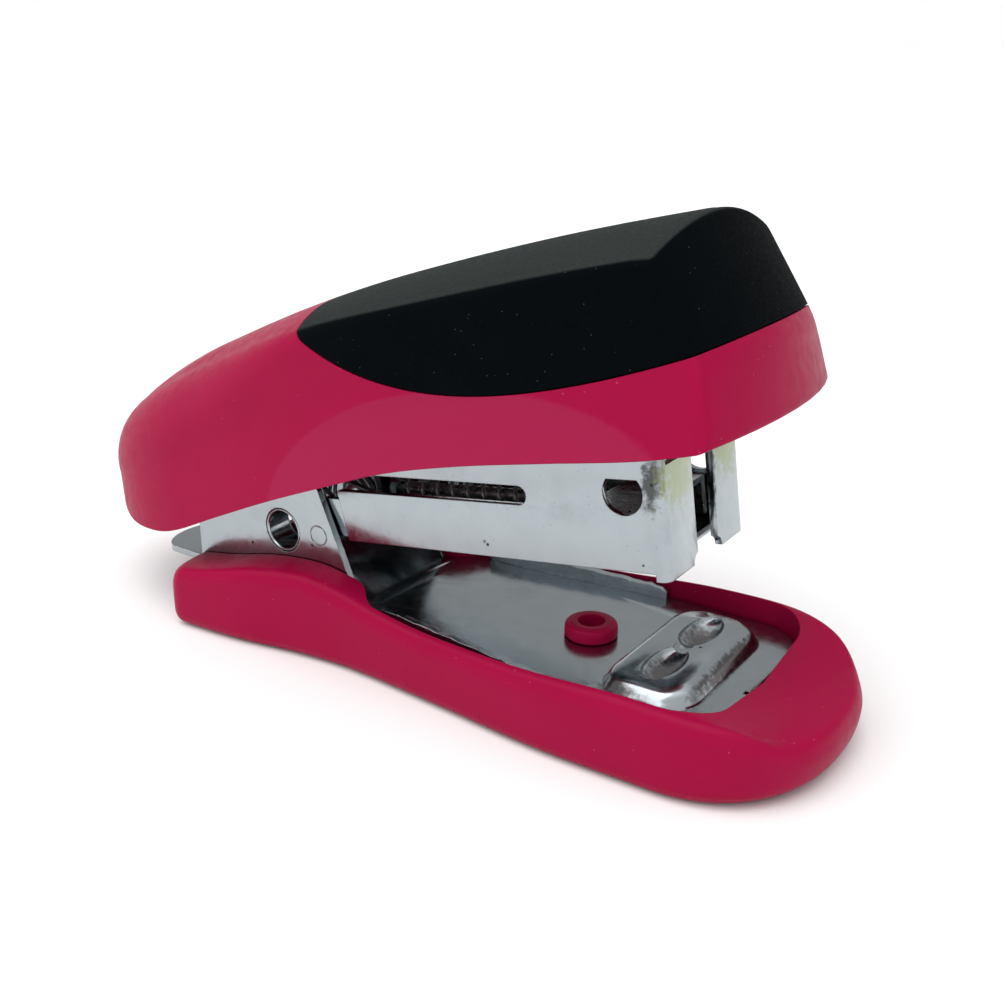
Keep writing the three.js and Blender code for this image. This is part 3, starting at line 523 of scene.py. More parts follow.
def tongue():
    """Rear tongue for prising staples out: it steps down and ends in a half-round."""
    under = TONGUE_TOP - SHEET
    step = [
        (1.4, FLOOR_TOP), (0.4, FLOOR_TOP), (-1.9, TONGUE_TOP), (-12, TONGUE_TOP),
        (-12, under), (-2.3, under), (0.0, FLOOR_UNDER), (1.4, FLOOR_UNDER),
    ]
    plan = [(2, -4.1), (2, 4.1)] + arc(-8.8, 0, 2.6, 90, 270, 32, 4.1)
    return common(side_prism(step, -4.4, 4.4), plan_prism(plan, 0, 9))


ANVIL_REAR, ANVIL_FRONT, ANVIL_TOP = 47.1, 56.05, 7.0
ANVIL_HALF, ANVIL_CORNER = 8.9, 3.5
GROOVE_X, GROOVE_SIDE = 51.55, 3.55
RING_X, RING_Z, RING_RADIUS, RING_LINE = 15.8, 11.43, 1.06, 0.1


def anvil_plateau():
    """Raised anvil: a rounded rectangle with rounded sloping walls."""

    def ring(inset, z):
        x0, x1, y1 = ANVIL_REAR + inset, ANVIL_FRONT - inset, ANVIL_HALF - inset
        r = ANVIL_CORNER - 0.8 * inset
        corners = ((x1 - r, -y1 + r, -90), (x1 - r, y1 - r, 0), (x0 + r, y1 - r, 90), (x0 + r, -y1 + r, 180))
        outline = []
        for cx, cy, start in corners:
            outline += arc(cx, cy, r, start, start + 90, 10)
        return [(x, y, z) for x, y in outline]

    low = FLOOR_TOP - 0.35
    centre_x = (ANVIL_REAR + ANVIL_FRONT) / 2
    wall = rings_between([
        ring(0, FLOOR_TOP), ring(0.3, FLOOR_TOP + 0.5), ring(0.75, ANVIL_TOP - 0.35), ring(1.4, ANVIL_TOP),
    ], 5)
    bottom = [(centre_x, 0, low)] * len(wall[0])
    top = [(centre_x, 0, ANVIL_TOP)] * len(wall[0])
    return skin_rings([bottom, ring(0, low), *wall, top])


def ring_mark(side):
    """A thin ring pressed into the outside of an ear."""
    centre = (RING_X, side * EAR_OUTER, RING_Z)
    middle = cylinder(RING_RADIUS - RING_LINE, 1, "y", centre)
    return cut_all(cylinder(RING_RADIUS, 0.14, "y", centre), [middle])


def base_plate():
    """One chromed pressing: floor, ears, anvil with two joined crimp grooves, remover tongue."""
    floor = plan_prism(plate_outline(0), FLOOR_UNDER, FLOOR_TOP)
    ears = [side_prism(ear_outline(), *sorted((s * EAR_INNER, s * EAR_OUTER))) for s in (-1, 1)]
    marks = [ring_mark(s) for s in (-1, 1)]
    parts = [floor, *ears, waist_flange(-1), waist_flange(1), tongue(), anvil_plateau()]
    pressing = join_all(parts)
    grooves = [ellipsoid((1.6, 3.3, 1.1), (GROOVE_X, s * GROOVE_SIDE, ANVIL_TOP + 0.1)) for s in (-1, 1)]
    grooves.append(ellipsoid((0.8, 1.6, 0.55), (GROOVE_X, 0, ANVIL_TOP + 0.1)))
    cutters = [
        cylinder(EYELET_RADIUS + 0.03, 20, "y", (PIVOT_X, 0, PIVOT_Z)),
        cylinder(POST_RADIUS + 0.2, 4, "z", (POST_X, 0, FLOOR_TOP)),
        block(PLATE_FRONT - 0.5, PLATE_FRONT + 1, -2.2, -1.6, 4, 6),
        *grooves,
        *marks,
    ]
    return cut_all(pressing, cutters)


def pivot_eyelet(side):
    """An eyelet through one ear, its outer rim rolled over and its bore open."""
    inner, outer = EYELET_INNER_END, EAR_OUTER
    bore = EYELET_RADIUS - 0.3
    wide = EYELET_RADIUS
    profile = [
        (inner, bore), (inner, wide), (outer - 0.12, wide), (outer - 0.02, wide - 0.1),
        (outer, wide - 0.2), (outer - 0.12, bore - 0.04), (outer - 0.5, bore), (inner, bore),
    ]
    around = np.linspace(0, 2 * math.pi, 97)[:-1]
    rings = []
    for y, r in profile:
        ring = [(PIVOT_X + r * math.cos(a), side * y, PIVOT_Z + r * math.sin(a)) for a in around]
        rings.append(ring)
    return skin_rings(rings)


SPRING_WIRE = 0.27  # radius of the torsion springs' wire


def torsion_path(y0, y1, turns, coil_start, first_tip, last_tip):
    """The line of a torsion spring wound round the pivot, with a straight leg to each tip."""
    coil_radius = 3.05
    steps = round(turns * 40)
    start = math.radians(coil_start)
    coil = []
    for i in range(steps + 1):
        t = i / steps
        angle = start + t * turns * 2 * math.pi
        x = PIVOT_X + coil_radius * math.cos(angle)
        z = PIVOT_Z + coil_radius * math.sin(angle)
        coil.append((x, y0 + t * (y1 - y0), z))
    first = [np.array(first_tip) + (np.array(coil[0]) - first_tip) * k / 8 for k in range(8)]
    last = [np.array(coil[-1]) + (np.array(last_tip) - coil[-1]) * k / 8 for k in range(1, 9)]
    return [*first, *coil, *last]


def lift_spring():
    """The torsion spring that lifts the magazine: one leg on the floor, one under the case."""
    first_tip = (2.0, -4.45, FLOOR_TOP + 0.45)
    path = torsion_path(-4.45, -1.2, 3 + 20 / 360, 260, first_tip, (20.0, -1.2, PIVOT_Z + 0.2))
    return tube_along(path, SPRING_WIRE)


def handle_spring():
    """The torsion spring that lifts the handle: one leg on the case, one under the handle."""
    first_tip = (19.2, 1.2, PIVOT_Z + 2.0)
    path = torsion_path(1.2, 4.45, 4 - 60 / 360, 80, first_tip, (11.6, 4.45, PIVOT_Z + 10.9))
    return tube_along(path, SPRING_WIRE)


# ------------------------------------------------------------------ magazine


def case_wall(side):
    """One side wall of the case with its front lip, folded from the same sheet."""
    bend = CASE_BEND
    lip = LIP_GAP / 2
    plan = [(CASE_REAR - 0.5, -EAR_OUTER)]
    plan += arc(CASE_FRONT - bend, -EAR_OUTER + bend, bend, -90, 0, 10)
    plan += [(CASE_FRONT, -lip), (CASE_FRONT - LIP_SHEET, -lip)]
    plan += arc(CASE_FRONT - bend, -EAR_OUTER + bend, bend - LIP_SHEET, 0, -90, 6)
    plan += [(CASE_REAR - 0.5, -EAR_INNER)]
    if side > 0:
        plan = [(x, -y) for x, y in plan]
    return plan_prism(plan, CASE_UNDER - LIP_DROP, CASE_TOP)


def case_cutters():
    """Everything that is stamped out of the case: slots, eyes, pivot and rivet holes, trimmed ends."""
    slot = [(CASE_REAR - 2, 4.55)] + arc(28.8, 5.46, 0.84, -90, 90, 16) + [(CASE_REAR - 2, 6.3)]
    eye = arc(38.94, 6.26, 1.82, 140, 400, 48)
    rear = [(6, -2), (CASE_REAR + 0.3, -2), (CASE_REAR - 0.45, 4.6), (CASE_REAR - 1.0, 11), (6, 11)]
    made = [cylinder(EYELET_RADIUS + 0.1, 20, "y", (0, 0, 0))]
    made += [cylinder(0.8, 3, "z", (x, 0, CASE_UNDER), 32) for x in RAIL_RIVETS]
    for inner, outer in ((-9, -EAR_INNER + 0.2), (EAR_INNER - 0.2, 9)):
        made += [side_prism(slot, inner, outer), side_prism(eye, inner, outer)]
    made += [side_prism(rear, -9, -ARM_OUTER - 0.02), side_prism(rear, ARM_OUTER + 0.02, 9)]
    return made


def magazine_case():
    """The chromed channel that holds the staples, with arms back to the pivot."""
    bend = CASE_BEND
    lip = LIP_GAP / 2
    under = block(0, CASE_FRONT - 1.2, -9, 9, CASE_UNDER - 2, CASE_UNDER)
    lip_half = EAR_OUTER - bend
    over = block(CASE_FRONT - 0.75, CASE_FRONT + 1, -lip_half, lip_half, CASE_TOP - 1, 20)
    nibbles = [cylinder(1.0, 3, "x", (CASE_FRONT, s * (lip - 0.25), CASE_UNDER - LIP_DROP)) for s in (-1, 1)]
    walls = []
    for side, nibble in zip((-1, 1), nibbles):
        walls.append(cut_all(case_wall(side), [*copies((under, over)), nibble]))
    for cutter in (under, over):
        bpy.data.objects.remove(cutter)
    floor = block(CASE_REAR - 0.5, 40.9, -EAR_OUTER, EAR_OUTER, CASE_UNDER, CASE_FLOOR_TOP)
    neck = block(4.4, CASE_REAR + 1, -ARM_OUTER, ARM_OUTER, CASE_UNDER, CASE_FLOOR_TOP)
    arm = [(CASE_REAR + 0.8, CASE_UNDER), (CASE_REAR + 0.8, 3.4)] + arc(0, 0, 3.4, 90, 270, 40)
    arm += [(2.6, -2.2), (4.4, CASE_UNDER)]
    arms = [side_prism(arm, *sorted((s * ARM_OUTER, s * (ARM_OUTER - ARM_SHEET)))) for s in (-1, 1)]
    return cut_all(join_all([floor, neck, *walls, *arms]), case_cutters())


def copies(solids):
    """Fresh copies, because a boolean uses its cutters up."""
    made = []
    for original in solids:
        copy = bpy.data.objects.new("solid", original.data.copy())
        bpy.context.scene.collection.objects.link(copy)
        made.append(copy)
    return made


def pusher_spring():
    """The fine coil on the guide rod."""
    turns, steps_per_turn = 13, 30
    rear, front = 10.9, 34.3
    path = []
    for i in range(turns * steps_per_turn + 1):
        t = i / (turns * steps_per_turn)
        angle = t * turns * 2 * math.pi
        x = rear + t * (front - rear)
        path.append((x, COIL_RADIUS * math.cos(angle), ROD_Z + COIL_RADIUS * math.sin(angle)))
    return tube_along(path, 0.21)


# ------------------------------------------------------------------ handle

handle_lower = through([
    (HANDLE_HEEL, 9.0), (-24.4, 6.5), (-20.5, 3.8), (-15, 2.4), (-11, 2.15), (-4, 3.0), (4, 3.95), (12, 4.6),
    (19, 5.05), (27, 4.85), (36, 4.2), (44, 3.6), (52, 3.5),
])
handle_crest = through([
    (HANDLE_HEEL, 9.8), (-24.4, 12.7), (-21.5, 15.1), (-16.5, 17.0), (-10, 18.5), (-4, 19.3), (5, 20.25),
    (15, 20.85), (25, 20.95), (35, 20.75), (43, 20.35), (52, 19.8),
])
crown_height = through([(-24.8, 0.5), (-8, 1.2), (12, 1.9), (28, 2.3), (52, 2.1)])
shoulder_radius = through([
    (-24.8, 5), (-12, 7.5), (0, 5.2), (11, 2.0), (18, 1.1), (38, 0.9), (52, 0.7),
])
handle_wide = through([(-24.8, 11.4), (-8, 11.5), (10, 11.8), (30, 12.0), (52, 12.25)])


def side_lean(rise):
    """How far the side leans in, from the lower edge up to the shoulder."""
    return 0.187 * min(rise, SIDE_BEND) + 0.03 * max(0.0, rise - SIDE_BEND)


def half_section(a, inset):
    """Half of the handle's section at station a, from the lower edge to the crest, as (y, z)."""
    heel = float(round_end(HANDLE_HEEL + HEEL_ROUND - a, HEEL_ROUND - inset, 2.25))
    crest = float(handle_crest(a)) - inset
    lower = min(float(handle_lower(a)), crest - 0.02)
    wide = max(0.02, (float(handle_wide(a)) - inset) * heel)
    crown = min(float(crown_height(a)), (crest - lower) * 0.3)
    shoulder = crest - crown
    room = min(shoulder - lower, wide)
    radius = max(0.01, min(float(shoulder_radius(a)), room * 0.9))

    def lean(z):
        return max(0.01, wide - min(wide * 0.3, side_lean(z - lower)))

    side_top = shoulder - radius
    points = []
    for i in range(15):
        z = lower + i / 14 * (side_top - lower)
        points.append((lean(z), z))
    corner = max(0.005, lean(side_top) - radius)
    points += arc(corner, side_top, radius, 7.5, 75, 9)
    edge_y, edge_z = points[-1]
    for i in range(1, 13):
        t = i / 12
        points.append((edge_y * (1 - t), edge_z + (crest - edge_z) * (1 - (1 - t) ** 2)))
    return points


def section_ring(a, inset, drop):
    """The whole section as (y, z), closed along the lower edge."""
    half = half_section(a, inset)
    half[0] = (half[0][0], half[0][1] - drop)
    right = [(-y, z) for y, z in reversed(half[:-1])]
    closing = [(share * half[0][0], half[0][1]) for share in (-0.75, -0.5, -0.25, 0, 0.25, 0.5, 0.75)]
    return half + right + closing


def front_face(y, z, inset):
    """x of the front face at a height and a distance from the centre line."""
    rise = z - LEAN_HEIGHT
    lean_back = LEAN_SLOPE * (rise + math.hypot(rise, LEAN_START)) / 2
    return HANDLE_NOSE - inset - lean_back + FRONT_BOW * (1 - (y / HANDLE_WIDE) ** 2)


# How the front edge turns in: scale of the section, distance behind the front face.
NOSE_TURN = ((1, 0.9), (0.998, 0.62), (0.99, 0.26), (0.975, 0.07), (0.945, 0))


def handle_form(inset, drop=0.0):
    """The handle's solid form, drawn in by inset; drop lets a cutting form run out below."""
    heel = HANDLE_HEEL + inset
    body_end = 41.0
    middle_z = 11.5
    heel_stations = heel + HEEL_ROUND * (1 - np.cos(np.linspace(0, math.pi / 2, 41)))
    stations = np.concatenate([heel_stations, np.linspace(heel + HEEL_ROUND, body_end, 66)[1:]])
    rings = [[(a, y, z) for y, z in section_ring(float(a), inset, drop)] for a in stations]

    def nose(share, scale, back):
        ring = []
        for y, z in section_ring(body_end + share * (HANDLE_NOSE - body_end), inset, drop):
            sy, sz = y * scale, middle_z + (z - middle_z) * scale
            face = front_face(sy, sz, inset) - back
            ring.append((body_end + share * (face - body_end), sy, sz))
        return ring

    rings += [nose(share, 1, 0) for share in np.linspace(0, 0.86, 12)[1:]]
    turned = [nose(1, scale, back) for scale, back in NOSE_TURN]
    rings += rings_between(turned, 3)
    rings += [nose(1, scale, 0) for scale in (0.9, 0.75, 0.6, 0.4, 0.2, 0)]
    tip = (heel, 0, (float(handle_lower(heel)) + float(handle_crest(heel))) / 2 - inset / 2)
    return skin_rings([[tip] * len(rings[0]), *rings])


def above_parting(drop):
    """Everything above the parting line between the pink shell and the black insert."""
    start = (10.4 - drop, 20.2)
    sweep = bezier(start, (17 - drop, 11.9 - drop), (29.5, 7.35 - drop), (56, 11.1 - drop), 64)
    return side_prism([(9.6 - drop, 24), start, *sweep, (56, 24)], -16, 16)


SCALLOP_REACH = Vector((26.4, 0.8, 10.3))
SCALLOP_LEAN = 10.6


def scallop_centre(side):
    """The middle of the thumb hollow's ellipsoid, in the handle's frame."""
    return Vector((20.6, side * 12.8, 1.4))


def thumb_scallop(side):
    """A lens-shaped hollow for the thumb."""
    return ellipsoid(SCALLOP_REACH, scallop_centre(side), side * SCALLOP_LEAN, 96, 80)


def handle_insert():
    """The black grip: the skin of the handle above the parting line."""
    skin = cut_all(handle_form(0), [handle_form(INSERT_SKIN)])
    return common(skin, above_parting(0))


def handle_shell():
    """The pink handle: hollow below, with a seat for the insert and two screw bosses."""
    seat = cut_all(handle_form(-0.8), [handle_form(INSERT_SKIN + 0.15)])
    insert_room = common(seat, above_parting(0.12))
    body = cut_all(handle_form(0), [handle_form(SHELL_SKIN, 14), insert_room])
    boss_z = FRAME_WEB_Z + SHEET + 0.05 + 4.5
    bosses = [common(cylinder(2.2, 9, "z", (x, 0, boss_z)), handle_form(SHELL_SKIN - 0.4)) for x in SCREW_X]
    pilots = [cylinder(1.05, 9, "z", (x, 0, FRAME_WEB_Z + 2.5), 40) for x in SCREW_X]
    return cut_all(join_all([body, *bosses]), [*pilots, thumb_scallop(-1), thumb_scallop(1)])


# ------------------------------------------------------------------ materials


class Nodes:
    """A short way to write a node tree."""

    def __init__(self, tree):
        self.tree = tree
        self.tree.nodes.clear()

    def add(self, kind, settings=None, **inputs):
        node = self.tree.nodes.new("ShaderNode" + kind)
        for name, value in (settings or {}).items():
            setattr(node, name, value)
        for name, value in inputs.items():
            self.put(node, name.replace("_", " "), value)
        return node

    def put(self, node, name, value):
        """Sets an input, or links it when the value is an output socket."""
        socket = node.inputs[int(name[1:])] if name[0] == "i" and name[1:].isdigit() else node.inputs[name]
        if isinstance(value, bpy.types.NodeSocket):
            self.tree.links.new(value, socket)
        else:
            socket.default_value = value

    def noise(self, scale, detail=3.0, roughness=0.5):
        """Noise from 0 to 1 in object coordinates; scale is features per metre."""
        place = self.position()
        node = self.add("TexNoise", Scale=scale, Detail=detail, Roughness=roughness, Vector=place)
        return node.outputs["Fac"]

    def position(self):
        return self.add("TexCoord").outputs["Object"]

    def spots(self, scale, size):
        """Round specks of the given size, 1 inside and 0 outside, in one cell out of a few."""
        cells = self.add("TexVoronoi", Scale=scale, Vector=self.position())
        shade = self.remap(cells.outputs["Distance"], size, size * 0.6, 0.0, 1.0)
        dice = self.add("SeparateColor", i0=cells.outputs["Color"]).outputs[0]
        chosen = self.remap(dice, 0.62, 0.66, 0.0, 1.0)
        return self.math("MULTIPLY", shade, chosen)

    def remap(self, value, low, high, to_low, to_high):
        node = self.add("MapRange", Value=value)
        for name, number in (("From Min", low), ("From Max", high), ("To Min", to_low), ("To Max", to_high)):
            node.inputs[name].default_value = number
        return node.outputs["Result"]

    def math(self, operation, a, b):
        return self.add("Math", {"operation": operation}, i0=a, i1=b).outputs[0]

    def mix(self, factor, a, b):
        node = self.add("Mix", {"data_type": "RGBA"})
        self.put(node, "i0", factor)
        self.put(node, "i6", a)
        self.put(node, "i7", b)
        return node.outputs[2]

    def upward(self, low, high):
        """1 on faces that look up, 0 on upright and downward ones."""
        facing = self.add("SeparateXYZ", Vector=self.add("NewGeometry").outputs["Normal"]).outputs["Z"]
        return self.remap(facing, low, high, 0.0, 1.0)

    def patch(self, centre, reach):
        """1 near a point (metres), fading to 0 at reach in x, y and z, with a ragged border."""
        away = self.add("VectorMath", {"operation": "SUBTRACT"}, i0=self.position(), i1=centre)
        scaled = self.add("VectorMath", {"operation": "DIVIDE"}, i0=away.outputs[0], i1=reach)
        distance = self.add("VectorMath", {"operation": "LENGTH"}, i0=scaled.outputs[0]).outputs["Value"]
        ragged = self.math("ADD", distance, self.remap(self.noise(1300, 5, 0.65), 0.3, 0.7, -0.45, 0.45))
        return self.remap(ragged, 0.5, 1.0, 1.0, 0.0)

    def bump(self, height, distance, strength=1.0, normal=None):
        node = self.add("Bump", Height=height, Distance=distance, Strength=strength)
        if normal is not None:
            self.put(node, "Normal", normal)
        return node.outputs["Normal"]

    def rounded(self, radius):
        """Shades sharp edges as if they were rounded by this radius."""
        return self.add("Bevel", {"samples": 6}, Radius=radius).outputs["Normal"]


def material(name, shade):
    """A material whose look the function shade(nodes, principled) sets."""
    made = bpy.data.materials.new(name)
    made.use_nodes = True
    nodes = Nodes(made.node_tree)
    out = nodes.add("OutputMaterial")
    principled = nodes.add("BsdfPrincipled")
    made.node_tree.links.new(principled.outputs[0], out.inputs[0])
    shade(nodes, principled)
    return made


def pink_plastic(nodes, shader):
    """Satin raspberry plastic: faint moulding grain, a little dust, and painted light that makes the thumb hollows
    paler.
    """
    clouds = nodes.noise(140, 4)
    body = nodes.mix(clouds, (0.325, 0.0024, 0.045, 1), (0.285, 0.0019, 0.037, 1))
    dust = nodes.spots(1100, 0.09)
    body = nodes.mix(nodes.math("MULTIPLY", dust, 0.35), body, (0.5, 0.16, 0.22, 1))
    # painted light: the thumb hollows are painted paler, standing in for how light falls in them
    for side in (-1, 1):
        body = nodes.mix(painted_scallop_light(nodes, side), body, (0.32, 0.0105, 0.056, 1))
    nodes.put(shader, "Base Color", body)
    rough = nodes.remap(nodes.noise(900, 3), 0.3, 0.7, 0.34, 0.46)
    nodes.put(shader, "Roughness", rough)
    grain = nodes.bump(nodes.noise(9000, 2), 0.000012, 0.5, nodes.rounded(0.00016))
    nodes.put(shader, "Normal", nodes.bump(nodes.noise(420, 2), 0.00003, 0.25, grain))
    shader.inputs["Specular IOR Level"].default_value = 0.07


def painted_scallop_light(nodes, side):
    """1 on the hollow's own surface, which is painted paler as painted light, and 0 around it."""
    turn = HANDLE @ Matrix.Rotation(math.radians(side * SCALLOP_LEAN), 4, "X")
    centre = HANDLE @ scallop_centre(side)
    away = nodes.add("VectorMath", {"operation": "SUBTRACT"}, i0=nodes.position(), i1=centre).outputs[0]
    total = None
    for axis, reach in enumerate(SCALLOP_REACH):
        direction = turn.col[axis].to_3d().normalized() / (reach * MM)
        share = nodes.add("VectorMath", {"operation": "DOT_PRODUCT"}, i0=away, i1=direction).outputs["Value"]
        square = nodes.math("MULTIPLY", share, share)
        total = square if total is None else nodes.math("ADD", total, square)
    return nodes.remap(total, 1.0, 1.06, 1.0, 0.0)


def soft_black(nodes, shader):
    """Matt soft-touch skin: fine powdery grain, painted paler where it faces up as painted top light, and a little
    pale dust.
    """
    clouds = nodes.noise(260, 4)
    body = nodes.mix(clouds, (0.0006, 0.0014, 0.0021, 1), (0.0015, 0.0027, 0.0034, 1))
    # painted top light: faces that look up are painted paler grey in patches, standing in for the light from above
    patchy = nodes.remap(nodes.noise(4200, 2, 0.7), 0.2, 0.8, 0.6, 1.0)
    painted_top_light = nodes.math("MULTIPLY", nodes.upward(0.70, 0.90), patchy)
    body = nodes.mix(painted_top_light, body, (0.030, 0.0355, 0.0345, 1))
    dust = nodes.spots(1500, 0.085)
    body = nodes.mix(nodes.math("MULTIPLY", dust, 0.5), body, (0.10, 0.11, 0.105, 1))
    nodes.put(shader, "Base Color", body)
    nodes.put(shader, "Roughness", nodes.remap(nodes.noise(3000, 3), 0.3, 0.7, 0.58, 0.74))
    grain = nodes.bump(nodes.noise(6500, 3, 0.7), 0.00004, 0.6, nodes.rounded(0.00018))
    nodes.put(shader, "Normal", grain)
    shader.inputs["Specular IOR Level"].default_value = 0.02


def worn_edges(nodes, body):
    """Dark burrs where the sheet was sheared: on edges, found by comparing rounded and flat normals."""
    flat = nodes.add("NewGeometry").outputs["Normal"]
    bent = nodes.add("VectorMath", {"operation": "DOT_PRODUCT"}, i0=nodes.rounded(0.00022), i1=flat)
    edge = nodes.remap(bent.outputs["Value"], 0.97, 0.80, 0.0, 1.0)
    ragged = nodes.remap(nodes.noise(2400, 4, 0.7), 0.44, 0.56, 0.0, 0.8)
    return nodes.mix(nodes.math("MULTIPLY", edge, ragged), body, (0.05, 0.05, 0.05, 1))


def chromed(marks=()):
    """Bright chrome over pressed steel, with marks and painted shade given as (centre, reach, colour, strength) in
    metres.
    """

    def shade(nodes, shader):
        haze = nodes.noise(380, 4)
        pits = nodes.spots(520, 0.10)
        fine_pits = nodes.spots(1900, 0.12)
        grime = nodes.remap(nodes.noise(160, 5, 0.6), 0.58, 0.75, 0.0, 0.25)
        body = nodes.mix(haze, (0.355, 0.40, 0.425, 1), (0.425, 0.465, 0.485, 1))
        body = nodes.mix(grime, body, (0.21, 0.21, 0.2, 1))
        body = nodes.mix(nodes.math("MULTIPLY", fine_pits, 0.55), body, (0.08, 0.08, 0.08, 1))
        body = nodes.mix(pits, body, (0.03, 0.03, 0.03, 1))
        # each entry is a mark or painted shade laid on as a patch of colour
        for centre, reach, colour, strength in marks:
            cover = nodes.math("MULTIPLY", nodes.patch(centre, reach), strength)
            body = nodes.mix(cover, body, (*colour, 1))
        nodes.put(shader, "Base Color", worn_edges(nodes, body))
        shader.inputs["Metallic"].default_value = 1.0
        rough = nodes.remap(nodes.noise(1200, 4, 0.6), 0.3, 0.7, 0.13, 0.24)
        nodes.put(shader, "Roughness", rough)
        wave = nodes.bump(nodes.noise(170, 2), 0.00009, 0.35, nodes.rounded(0.00011))
        nodes.put(shader, "Normal", nodes.bump(nodes.noise(2600, 3), 0.000006, 0.5, wave))

    return shade


def case_marks_and_painted_shade():
    """Marks and painted shade on the case: a dark patch at the right front corner, yellowed lips, and painted
    shade on the far lip's inner edge.
    """

    def at(x, y, z):
        return tuple(MAGAZINE @ Vector((x, y, z)))

    dark = (0.035, 0.034, 0.033)
    tarnish = (0.30, 0.33, 0.17)
    # a darker patch on the near wall's front corner
    dark_corner_patch = (at(41.6, -EAR_OUTER, 7.2), (0.0011, 0.0009, 0.0026), dark, 0.85)
    lips = [(at(CASE_FRONT, s * 4.4, 8.0), (0.0012, 0.0034, 0.0042), tarnish, 0.7) for s in (-1, 1)]
    # painted shade on the far lip's inner edge, where the gap between the lips lies in shadow
    painted_lip_shade = (at(CASE_FRONT - 0.3, LIP_GAP / 2, 5.5), (0.0009, 0.0005, 0.0045), dark, 0.8)
    return [dark_corner_patch, *lips, painted_lip_shade]


def plate_painted_shade():
    """Painted shade in the anvil's grooves and painted dark reflection along its front and right walls."""

    def at(x, y, z):
        return tuple(BASE @ Vector((x, y, z)))

    painted_dark = (0.09, 0.065, 0.065)
    # painted shade in the grooves, then painted dark reflection on the anvil's front and right walls
    grooves = [(at(GROOVE_X, s * GROOVE_SIDE, 6.3), (0.0017, 0.0033, 0.0010), painted_dark, 0.75) for s in (-1, 1)]
    front = (at(ANVIL_FRONT - 0.5, 1.0, 6.2), (0.0008, 0.0085, 0.0010), painted_dark, 0.8)
    right = (at(ANVIL_REAR + 2.0, -ANVIL_HALF + 0.8, 6.1), (0.0035, 0.0010, 0.0010), painted_dark, 0.7)
    return [*grooves, front, right]


def plain_steel(low, high, rough_low, rough_high, grain):
    """Zinc-plated or drawn steel: a metal between two greys with fine drawing marks."""

    def shade(nodes, shader):
        body = nodes.mix(nodes.noise(700, 4), (*low, 1), (*high, 1))
        nodes.put(shader, "Base Color", body)
        shader.inputs["Metallic"].default_value = 1.0
        nodes.put(shader, "Roughness", nodes.remap(nodes.noise(2100, 3), 0.3, 0.7, rough_low, rough_high))
        nodes.put(shader, "Normal", nodes.bump(nodes.noise(grain, 3), 0.00001, 0.5, nodes.rounded(0.00012)))

    return shade


def pad_rubber(nodes, shader):
    """Matt rubber sheet with a pebbled face."""
    body = nodes.mix(nodes.noise(300, 4), (0.014, 0.014, 0.014, 1), (0.028, 0.028, 0.027, 1))
    nodes.put(shader, "Base Color", body)
    nodes.put(shader, "Roughness", nodes.remap(nodes.noise(1500, 2), 0.3, 0.7, 0.75, 0.92))
    nodes.put(shader, "Normal", nodes.bump(nodes.noise(2200, 3, 0.6), 0.00008, 0.8))


PINK = material("pink_plastic", pink_plastic)
BLACK = material("soft_black", soft_black)
CHROME = material("chromed_sheet", chromed())
PLATE_CHROME = material("chromed_plate", chromed(plate_painted_shade()))
CASE_CHROME = material("chromed_case", chromed(case_marks_and_painted_shade()))
STEEL = material("bright_steel", plain_steel((0.46, 0.46, 0.45), (0.6, 0.6, 0.6), 0.24, 0.36, 4000))
SPRING = material("spring_steel", plain_steel((0.28, 0.28, 0.29), (0.42, 0.42, 0.43), 0.25, 0.4, 6000))
RUBBER = material("pad_rubber", pad_rubber)

FINISHES = {
    "pink_plastic": PINK, "soft_black": BLACK, "chromed_sheet": CHROME, "bright_steel": STEEL,
    "spring_steel": SPRING, "pad_rubber": RUBBER,
}

# ------------------------------------------------------------------ building


def dress_packed_nodes():
    """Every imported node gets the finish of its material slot; the pieces below replace some."""
    slots = {part["node"]: part["material_slot"] for part in frame["record"]["subparts"]}
    for name, node in frame["nodes"].items():
        node.data.materials.clear()
        node.data.materials.append(FINISHES[slots[name]])
        node.data.shade_smooth()
        node.data.set_sharp_from_angle(angle=SHARP_ANGLE)


def build():
    """Every piece, drawn in its own frame, placed, attached to its body, with the node it stands for hidden."""
    dress_packed_nodes()
    finish_piece(base_shell(), "base_body", BASE, "base", ["base_shell"], PINK)
    plate = soften_edges(base_plate(), width=0.07)
    finish_piece(plate, "plate_pressing", BASE, "base", ["base_plate"], PLATE_CHROME)
    for side, hand in ((-1, "right"), (1, "left")):
        eyelet = pivot_eyelet(side)
        nodes = ["pivot_eyelet_" + hand]
        finish_piece(eyelet, "eyelet_" + hand, BASE, "base", nodes, CHROME)
    finish_piece(lift_spring(), "lift_coil", BASE, "base", ["lift_spring"], SPRING)
    finish_piece(handle_spring(), "handle_coil", BASE, "handle", ["handle_spring"], SPRING)
    case = soften_edges(magazine_case(), width=0.09)
    finish_piece(case, "case_channel", MAGAZINE, "magazine", ["magazine_case"], CASE_CHROME)
    coil = pusher_spring()
    finish_piece(coil, "pusher_coil", MAGAZINE, "magazine", ["pusher_spring"], SPRING)
    finish_piece(handle_shell(), "handle_body", HANDLE, "handle", ["handle_shell"], PINK)
    finish_piece(handle_insert(), "handle_grip", HANDLE, "handle", ["handle_insert"], BLACK)


build()

# ------------------------------------------------------------------ floor, light and camera


